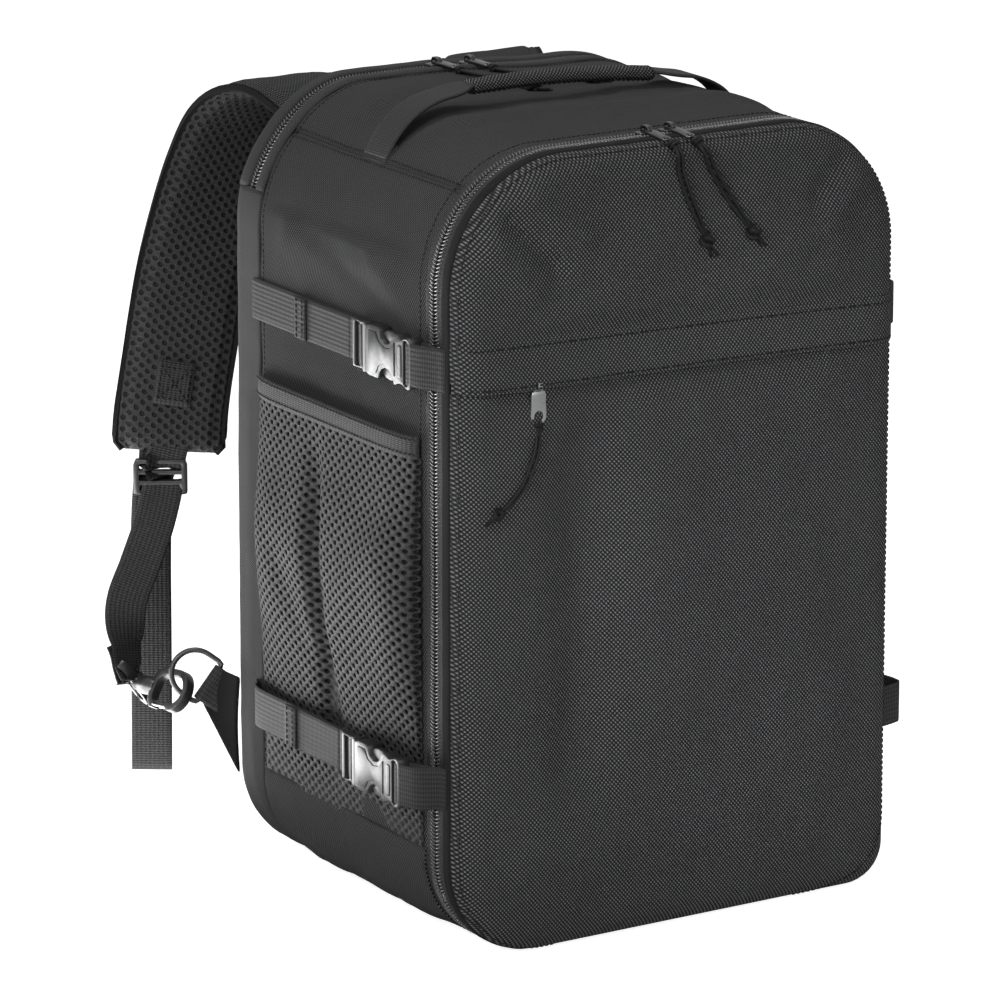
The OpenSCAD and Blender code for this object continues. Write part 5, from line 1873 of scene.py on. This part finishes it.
def build_harness():
    lock_m = Matrix.Translation(Vector(LOCK_AT)) @ Matrix.Rotation(math.radians(LOCK_TURN), 4, "Z")
    ring = [(-16.5, -9), (-16.5, 9), (-15, 12.6), (15, 12.6), (16.5, 9), (16.5, -9), (14, -9.6), (-14, -9.6)]
    holes = [
        round_rect(-12.9, 12.9, 5.8, 9.8, 0.8, 3), round_rect(-12.9, 12.9, -0.6, 3, 0.8, 3),
        round_rect(-12.2, 12.2, -7.6, -3.4, 1.4, 3)
    ]
    body = plate("lock", ring, -2.6, 2.6, "plastic", holes, 0.9)
    lip = plate("lip", round_rect(-13, 13, -9.6, -6.6, 1.2, 3), 2.2, 4.4, "plastic", bevel=0.8)
    lock = placed(joined([body, lip], "lock"), lock_m @ UPRIGHT)
    both_sides(faces_outward(lock), "strap_lock", "root", "buckle_plastic", "ladder_locks")

    eye_m = turned(EYE_AT, EYE_TURN)
    across = eye_m.to_3x3() @ Vector((0, 0, 1))
    if across.dot(Vector(STRAND_ACROSS[-1])) < 0:
        across = -across
    across = tuple(across)
    inward = (Vector(STRAND[-1]) - Vector(EYE_AT)).normalized()
    fold = [
        (-142.6, 240.2, 208), (-143.4, 239.2, 202), *STRAND[1:4], tuple(Vector(EYE_AT) + inward * 10),
        tuple(Vector(EYE_AT) + inward * 2)
    ]
    s1 = sweep(
        "strand", resample(fold, 3),
        [
            STRAND_ACROSS[0], STRAND_ACROSS[0], STRAND_ACROSS[1], STRAND_ACROSS[2], STRAND_ACROSS[3],
            across, across
        ],
        tape_section(WEB_W, WEB_T), material("webbing")
    )
    lean = inward.cross(Vector(across)).normalized()
    base = [
        tuple(Vector(EYE_AT) + inward * u + lean * v) for u,
        v in ((4, 0), (-0.6, 0.2), (-1.4, 1.4), (0.2, 2.8), (6, 2.4), (16, 1.7), (26, 1.6))
    ]
    s2 = strap("fold", base, across, WEB_W, WEB_T, 2)
    over = [(-142.2, 240.4, 211.6), (-143, 243.6, 211.9), (-144.4, 246.8, 209)] + TAIL[1:]
    s3 = sweep("tail", resample(over, 4), (1, -0.62, 0), tape_section(WEB_W, WEB_T), material("webbing"))
    q = Vector(TAIL[-1])
    n = Vector((-0.53, -0.85, 0)) * -1
    hem = strap(
        "tail_hem", [tuple(q + n * 1.5 + Vector((0, 0, 0.5))), tuple(q + n * 1.6 + Vector((0, 0, 14)))],
        (1, -0.62, 0), WEB_W, WEB_T
    )
    both_sides(
        joined([s1, s2, s3, hem], "straps"), "shoulder_strap_webbing", "root", "webbing",
        "shoulder_webbing"
    )

    oval = [
        (4.6 * math.cos(a), (WEB_W / 2 + 4.4) * (abs(math.sin(a)) ** 0.75) * math.copysign(1, math.sin(a)))
        for a in (2 * math.pi * k / 28 for k in range(28))
    ]
    slot = round_rect(-1.9, 1.9, -WEB_W / 2 - 0.2, WEB_W / 2 + 0.2, 1.6, 3)
    eye = plate("eye", oval, -2.8, 2.8, "plastic", [slot], 1.3)
    placed(eye, UPRIGHT)
    neck = lathe("neck", [(3.4, 4.2), (5, 3.4), (6, 2.2), (14, 2.2), (14.1, 3.6), (17, 3.6)], "plastic")
    both_sides(
        placed(joined([faces_outward(eye), neck], "eye"), eye_m), "strap_eye", "root", "buckle_plastic",
        "hook_eyes"
    )

    hook_m = turned(EYE_AT, HOOK_TURN)
    x0, x1, w, bar = 22, 46, 13, 4.2
    ring = [
        (x0, -5), (x0 + 2, -9.6), (x0 + 7, -12.2), (x0 + 14, -w)
    ] + arc_points(x1, 0, w, -90, 90, 16) + [(x0 + 21.4, w - 1), (x0 + 19.6, w - 4.6)]
    inner = arc_points(x1, 0, w - bar, 90, -90, 12) + [
        (x0 + 12, -w + bar + 0.2), (x0 + 7, -6.6), (x0 + 4.6, -4), (x0 + 4.2, 4), (x0 + 5, 7.8),
        (x0 + 8.6, 9.4), (x0 + 8.6, w - 0.4), (x0 + 5, w), (x0 + 1.4, 9), (x0, 5)
    ]
    loop = plate("loop", ring + [(x1 - 3.4, w - bar)] + inner, -3, 3, "plastic", bevel=1.5)
    barrel = lathe(
        "barrel",
        [
            (9, 2.6), (9, 4.9), (9.8, 5.7), (12, 5.4), (13, 5.8), (19, 5.7), (21, 4.8), (22.5, 4.6),
            (24, 3.6), (24, 0.2)
        ],
        "plastic"
    )
    both_sides(
        placed(joined([loop, barrel], "hook"), hook_m), "snap_hook", "*_hook_body", "buckle_plastic",
        "*_hook"
    )
    wire = [
        (29.4, 10.8, -2.2), (31, 11.0, -2.3), (36, 11.0, -2.0), (40.6, 10.8, -1.2), (41.6, 10.8, 0),
        (40.6, 10.8, 1.2), (36, 11.0, 2.0), (31, 11.0, 2.3), (29.4, 10.8, 2.2)
    ]
    gate = tube("gate", wire, 1.6, "grey_metal", 0.8)
    pin = lathe("pin", [(-2.6, 0.1), (-2.6, 1.3), (2.6, 1.3), (2.6, 0.1)], "grey_metal")
    placed(pin, Matrix.Translation(Vector((29.4, 10.8, 0))) @ Matrix.Rotation(math.radians(-90), 4, "Y"))
    both_sides(
        placed(joined([gate, pin], "gate"), hook_m), "hook_gate_wire", "*_hook_gate", "bright_metal",
        "*_gate"
    )

    ring_m = turned(RING_AT, RING_TURN)
    r = WEB_W / 2 + RING_T / 2
    path = [
        (-RING_T / 2, 0, -8), (-RING_T / 2, 0, -r + 3), (-RING_T / 2 + 0.8, 0, -r + 0.8), (1.5, 0, -r),
        (9, 0, -r)
    ]
    path += [
        (9 + r * math.cos(a), 0, r * math.sin(a))
        for a in (math.radians(-90 + k * 15) for k in range(1, 12))
    ]
    path += [
        (9, 0, r), (1.5, 0, r), (-RING_T / 2 + 0.8, 0, r - 0.8), (-RING_T / 2, 0, r - 3),
        (-RING_T / 2, 0, 8), (-RING_T / 2, 0, 0), (-RING_T / 2, 0, -8)
    ]
    ring = tube("ring", path, RING_T, "plastic", 1.5, 12)
    both_sides(placed(ring, ring_m), "strap_ring", "root", "buckle_plastic", "d_rings")

    def tab_row(t, k):
        """A point across the folded tab: t from the seam to the ring, k across."""
        a, b = Vector((-HALF_W - 1.5, BACK_Y - 3, 50)), Vector((-HALF_W - 1.5, BACK_Y - 3, 112))
        c, d = ring_m @ Vector(
            (-RING_T - 0.4, 0, -WEB_W / 2 + 1)
        ), ring_m @ Vector((-RING_T - 0.4, 0, WEB_W / 2 - 1))
        if (b - a).dot(d - c) < 0:
            c, d = d, c
        return a.lerp(b, k).lerp(c.lerp(d, k), t)

    cloth = grid(
        "tab", lambda t, k: tuple(tab_row(t, k) + Vector((-0.6, 0.9, 0)) * 1.4 * math.sin(math.pi * k)),
        [i / 8 for i in range(9)], [i / 14 for i in range(15)], material("plain")
    )
    lay_uv(cloth, lambda co: (co.y - co.x, co.z))
    point_away(cloth, (-120, 100, 90))
    thicken(cloth, 3.0, 0, 1)
    baked(cloth)
    wrap_pts = [
        tuple(ring_m @ Vector(p))
        for p in (
            (-16, 1.8, 0), (-6, 2.2, 0), (-2, 3.0, 0), (1.2, 0.6, 0), (0.4, -2.4, 0), (-5, -2.4, 0),
            (-15, -2.0, 0)
        )
    ]
    wrap = strap("wrap", wrap_pts, tuple(ring_m.to_3x3() @ Vector((0, 0, 1))), WEB_W - 1.5, WEB_T, 2)
    both_sides(joined([cloth, wrap], "tab"), "ring_tab", "root", "trim_fabric", "d_ring_tabs")


def lathe(name, profile, key, sides=28):
    """A turned piece round the local x axis, from (x, radius) pairs."""
    rings = [
        [
            (x, r * math.cos(2 * math.pi * k / sides), r * math.sin(2 * math.pi * k / sides))
            for k in range(sides)
        ] for x,
        r in profile
    ]
    obj = loft(name, rings, key, 0)
    obj.data.set_sharp_from_angle(angle=math.radians(35))
    return obj


# ---- top handle ----
def build_handle():
    low, high = span("handle_grip")
    z = (low.z + high.z) / 2
    r = (high.z - low.z) / 2 + 0.6

    def at(x, a):
        t = (x - low.x) / (high.x - low.x)
        sag = 3.2 - 9 * t * t + 2.6 * math.sin(math.pi * t)
        rr = r + 0.35 * fold_noise(x, a, 0, 9, 5) + 0.35 * math.exp(-(((a - 200) / 9) ** 2))
        rad = math.radians(a)
        return x, GRIP_Y + rr * 1.1 * math.cos(rad), z + 1.5 + sag * 0.55 + rr * 0.7 * math.sin(rad)

    us = steps(low.x, high.x, 2.4)
    grip = grid("grip", at, us, [k * 12 for k in range(31)], material("front_cloth"))
    for uv in grip.data.uv_layers["cloth"].data:
        uv.uv = (uv.uv[0], uv.uv[1] * 0.1)
    outward(grip, 2e-6, True)
    seam = stitches(
        "grip_stitch",
        [
            at(x, 250)[:1] + tuple(Vector(at(x, 250)[1:]) + Vector((-0.1, -0.3)))
            for x in steps(low.x + 2, high.x - 2, 4)
        ],
        (0, 1, 0)
    )
    finish_piece(joined([grip, seam], "handle_tube"), "handle", "handle_fabric", "handle_grip")
    for side in (-1, 1):
        word = hand(side)
        zz = at(low.x if side < 0 else high.x, 0)[2]
        path = [
            (side * 48, GRIP_Y, zz + 2.0), (side * 62, GRIP_Y, zz + 1.2), (side * 77, GRIP_Y, zz - 1.6),
            (side * 92, GRIP_Y, zz - 4.6), (side * 106, GRIP_Y, zz - 11.5), (side * 117, GRIP_Y, zz - 22),
            (side * 125, GRIP_Y, 449)
        ]
        web = strap(word + "_handle_webbing", path, (0, 1, 0), WEB_W, WEB_T + 0.6, 2.5)
        for v in web.data.vertices:
            x = abs(v.co.x) / MM
            pinch = smooth((74 - x) / 18)
            v.co.y = (GRIP_Y + (v.co.y / MM - GRIP_Y) * (1 - 0.68 * pinch)) * MM
        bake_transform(web)
        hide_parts("handle_webbing")
        fold = strap(
            "foot",
            [(side * 117, GRIP_Y, zz - 27), (side * 121.5, GRIP_Y, 452), (side * 126.5, GRIP_Y, 444)],
            (0, 1, 0), WEB_W + 1, 2.6, 2.5
        )
        fold.name = word + "_handle_foot"
        finish_piece(fold, "root", "webbing")


# ---- stage ----
def lamp(name, at, aim, size, power, shape_y=None):
    data = bpy.data.lights.new(name, "AREA")
    data.energy = power
    data.shape = "RECTANGLE"
    data.size = size
    data.size_y = shape_y or size
    obj = bpy.data.objects.new(name, data)
    obj.location = at
    obj.rotation_euler = (Vector(aim) - Vector(at)).to_track_quat("-Z", "Y").to_euler()
    bpy.context.scene.collection.objects.link(obj)
    return obj


def spot(name, at, aim, angle, power):
    """A soft-edged spot that lifts the middle of the front."""
    data = bpy.data.lights.new(name, "SPOT")
    data.energy = power
    data.spot_size = math.radians(angle)
    data.spot_blend = 1
    data.shadow_soft_size = 0.25
    obj = bpy.data.objects.new(name, data)
    obj.location = at
    obj.rotation_euler = (Vector(aim) - Vector(at)).to_track_quat("-Z", "Y").to_euler()
    bpy.context.scene.collection.objects.link(obj)
    return obj


def build_stage():
    scene = bpy.context.scene
    world = bpy.data.worlds.new("studio")
    scene.world = world
    world.use_nodes = True
    tree = world.node_tree
    tree.nodes.clear()
    white, soft, mix = (
        tree.nodes.new(k) for k in ("ShaderNodeBackground", "ShaderNodeBackground", "ShaderNodeMixShader")
    )
    white.inputs["Color"].default_value = (1, 1, 1, 1)
    soft.inputs["Color"].default_value = (0.93, 0.96, 1, 1)
    soft.inputs["Strength"].default_value = 0.14
    path, out = tree.nodes.new("ShaderNodeLightPath"), tree.nodes.new("ShaderNodeOutputWorld")
    seen = tree.nodes.new("ShaderNodeMath")
    seen.operation = "MULTIPLY_ADD"
    seen.inputs[1].default_value = 0.4
    tree.links.new(path.outputs["Is Glossy Ray"], seen.inputs[0])
    tree.links.new(path.outputs["Is Camera Ray"], seen.inputs[2])
    tree.links.new(seen.outputs[0], mix.inputs[0])
    tree.links.new(soft.outputs[0], mix.inputs[1])
    tree.links.new(white.outputs[0], mix.inputs[2])
    tree.links.new(mix.outputs[0], out.inputs[0])

    floor = grid(
        "floor", lambda x, y: (x, y, 0 if CAD_BOX[0].z > 0 else CAD_BOX[0].z / MM), [-4000, 4000],
        [-4000, 4000]
    )
    mat = bpy.data.materials.new("floor_white")
    mat.use_nodes = True
    tree = mat.node_tree
    shader = tree.nodes["Principled BSDF"]
    shader.inputs["Base Color"].default_value = (0.96, 0.96, 0.96, 1)
    shader.inputs["Roughness"].default_value = 0.9
    shader.inputs["Specular IOR Level"].default_value = 0
    shader.inputs["Emission Color"].default_value = (1, 1, 1, 1)
    seen = tree.nodes.new("ShaderNodeLightPath")
    glow = tree.nodes.new("ShaderNodeMath")
    glow.operation = "MULTIPLY"
    glow.inputs[1].default_value = 0.86
    tree.links.new(seen.outputs["Is Camera Ray"], glow.inputs[0])
    tree.links.new(glow.outputs[0], shader.inputs["Emission Strength"])
    floor.data.materials.append(mat)

    lights = [
        lamp("key", (-2.2, -0.9, 1.6), (0, 0, 0.3), 0.8, 27),
        lamp("fill", (0.2, -2.8, 1.5), (0, 0, 0.2), 1.0, 7),
        spot("front", (-1.2, -2.3, 1.0), (0.07, -0.12, 0.225), 8.5, 330),
        lamp("top", (-0.2, 0.5, 2.4), (0, 0, 0.3), 1.1, 16),
        lamp("low_card", (-0.66, 0.78, 0.02), (-0.6, 0.7, 1), 0.7, 26, shape_y=1.5),
    ]
    card = lights[-1]
    card.rotation_euler = (math.pi, 0, math.radians(32))
    card.visible_camera = card.visible_diffuse = False
    cam = bpy.data.cameras.new("camera")
    cam.lens = 229.8
    cam.sensor_width = 36
    cam.clip_start, cam.clip_end = 0.1, 20
    eye = bpy.data.objects.new("camera", cam)
    eye.location = (-1.9682, -3.0597, 1.2165)
    eye.rotation_euler = Vector((0.51274, 0.81771, -0.26163)).to_track_quat("-Z", "Y").to_euler()
    scene.collection.objects.link(eye)
    scene.camera = eye
    scene.view_settings.view_transform = "Standard"


# ---- the add-on ----
class BACKPACK_OT_body(bpy.types.Operator):
    """Builds the sewn panels of the main compartment"""

    bl_idname = "backpack.body"
    bl_label = "Body"
    bl_options = {"REGISTER", "UNDO"}

    def execute(self, context):
        build_body()
        return {"FINISHED"}


class BACKPACK_OT_seams(bpy.types.Operator):
    """Adds the stitching of the body"""

    bl_idname = "backpack.seams"
    bl_label = "Seams"
    bl_options = {"REGISTER", "UNDO"}

    def execute(self, context):
        build_seams()
        return {"FINISHED"}


class BACKPACK_OT_rear(bpy.types.Operator):
    """Builds the ribbed band and the back cloth"""

    bl_idname = "backpack.rear"
    bl_label = "Rear"
    bl_options = {"REGISTER", "UNDO"}

    def execute(self, context):
        build_rear()
        return {"FINISHED"}


class BACKPACK_OT_back_pads(bpy.types.Operator):
    """Builds the two cushions of the back"""

    bl_idname = "backpack.back_pads"
    bl_label = "Back pads"
    bl_options = {"REGISTER", "UNDO"}

    def execute(self, context):
        build_back_pads()
        return {"FINISHED"}


class BACKPACK_OT_inside(bpy.types.Operator):
    """Builds the divider, base board and linings"""

    bl_idname = "backpack.inside"
    bl_label = "Inside"
    bl_options = {"REGISTER", "UNDO"}

    def execute(self, context):
        build_inside()
        return {"FINISHED"}


class BACKPACK_OT_lid(bpy.types.Operator):
    """Builds the front cloth, flap and lid binding"""

    bl_idname = "backpack.lid"
    bl_label = "Lid"
    bl_options = {"REGISTER", "UNDO"}

    def execute(self, context):
        build_lid()
        return {"FINISHED"}


class BACKPACK_OT_zips(bpy.types.Operator):
    """Builds the coils and tapes"""

    bl_idname = "backpack.zips"
    bl_label = "Zips"
    bl_options = {"REGISTER", "UNDO"}

    def execute(self, context):
        build_zips()
        return {"FINISHED"}


class BACKPACK_OT_pockets(bpy.types.Operator):
    """Knits the side pockets"""

    bl_idname = "backpack.pockets"
    bl_label = "Mesh pockets"
    bl_options = {"REGISTER", "UNDO"}

    def execute(self, context):
        build_pockets()
        return {"FINISHED"}


class BACKPACK_OT_buckles(bpy.types.Operator):
    """Builds the compression straps and buckles"""

    bl_idname = "backpack.buckles"
    bl_label = "Buckles"
    bl_options = {"REGISTER", "UNDO"}

    def execute(self, context):
        build_buckles()
        return {"FINISHED"}


class BACKPACK_OT_sliders(bpy.types.Operator):
    """Builds the zip sliders and pullers"""

    bl_idname = "backpack.sliders"
    bl_label = "Sliders"
    bl_options = {"REGISTER", "UNDO"}

    def execute(self, context):
        build_sliders()
        return {"FINISHED"}


class BACKPACK_OT_cords(bpy.types.Operator):
    """Ties a doubled cord to each puller"""

    bl_idname = "backpack.cords"
    bl_label = "Pull cords"
    bl_options = {"REGISTER", "UNDO"}

    def execute(self, context):
        build_cords()
        return {"FINISHED"}


class BACKPACK_OT_pads(bpy.types.Operator):
    """Builds the shoulder pads"""

    bl_idname = "backpack.pads"
    bl_label = "Shoulder pads"
    bl_options = {"REGISTER", "UNDO"}

    def execute(self, context):
        build_pads()
        return {"FINISHED"}


class BACKPACK_OT_harness(bpy.types.Operator):
    """Builds the straps, hooks and rings"""

    bl_idname = "backpack.harness"
    bl_label = "Harness"
    bl_options = {"REGISTER", "UNDO"}

    def execute(self, context):
        build_harness()
        return {"FINISHED"}


class BACKPACK_OT_handle(bpy.types.Operator):
    """Builds the top handle"""

    bl_idname = "backpack.handle"
    bl_label = "Handle"
    bl_options = {"REGISTER", "UNDO"}

    def execute(self, context):
        build_handle()
        return {"FINISHED"}


class BACKPACK_OT_stage(bpy.types.Operator):
    """Adds the floor, lights and camera"""

    bl_idname = "backpack.stage"
    bl_label = "Stage"
    bl_options = {"REGISTER", "UNDO"}

    def execute(self, context):
        build_stage()
        return {"FINISHED"}


STEPS = [
    BACKPACK_OT_body,
    BACKPACK_OT_seams,
    BACKPACK_OT_rear,
    BACKPACK_OT_back_pads,
    BACKPACK_OT_inside,
    BACKPACK_OT_lid,
    BACKPACK_OT_zips,
    BACKPACK_OT_pockets,
    BACKPACK_OT_buckles,
    BACKPACK_OT_sliders,
    BACKPACK_OT_cords,
    BACKPACK_OT_pads,
    BACKPACK_OT_harness,
    BACKPACK_OT_handle,
    BACKPACK_OT_stage,
]


class BACKPACK_PT_panel(bpy.types.Panel):
    """Sizes and colours of the backpack, and its building steps"""

    bl_label = "Travel Backpack"
    bl_space_type = "VIEW_3D"
    bl_region_type = "UI"
    bl_category = "Backpack"

    def draw(self, context):
        for group in (context.scene.backpack_shape, context.scene.backpack_finish):
            for name in group.bl_rna.properties.keys():
                if name not in ("rna_type", "name"):
                    self.layout.prop(group, name)
        for cls in STEPS:
            self.layout.operator(cls.bl_idname)


CLASSES = [BackpackShape, BackpackFinish, BACKPACK_PT_panel] + STEPS


def register():
    for cls in CLASSES:
        bpy.utils.register_class(cls)
    bpy.types.Scene.backpack_shape = bpy.props.PointerProperty(type=BackpackShape)
    bpy.types.Scene.backpack_finish = bpy.props.PointerProperty(type=BackpackFinish)


def unregister():
    del bpy.types.Scene.backpack_finish
    del bpy.types.Scene.backpack_shape
    for cls in reversed(CLASSES):
        bpy.utils.unregister_class(cls)


def main():
    register()
    for cls in STEPS:
        space, name = cls.bl_idname.split(".")
        getattr(getattr(bpy.ops, space), name)()


if __name__ == "__main__":
    main()
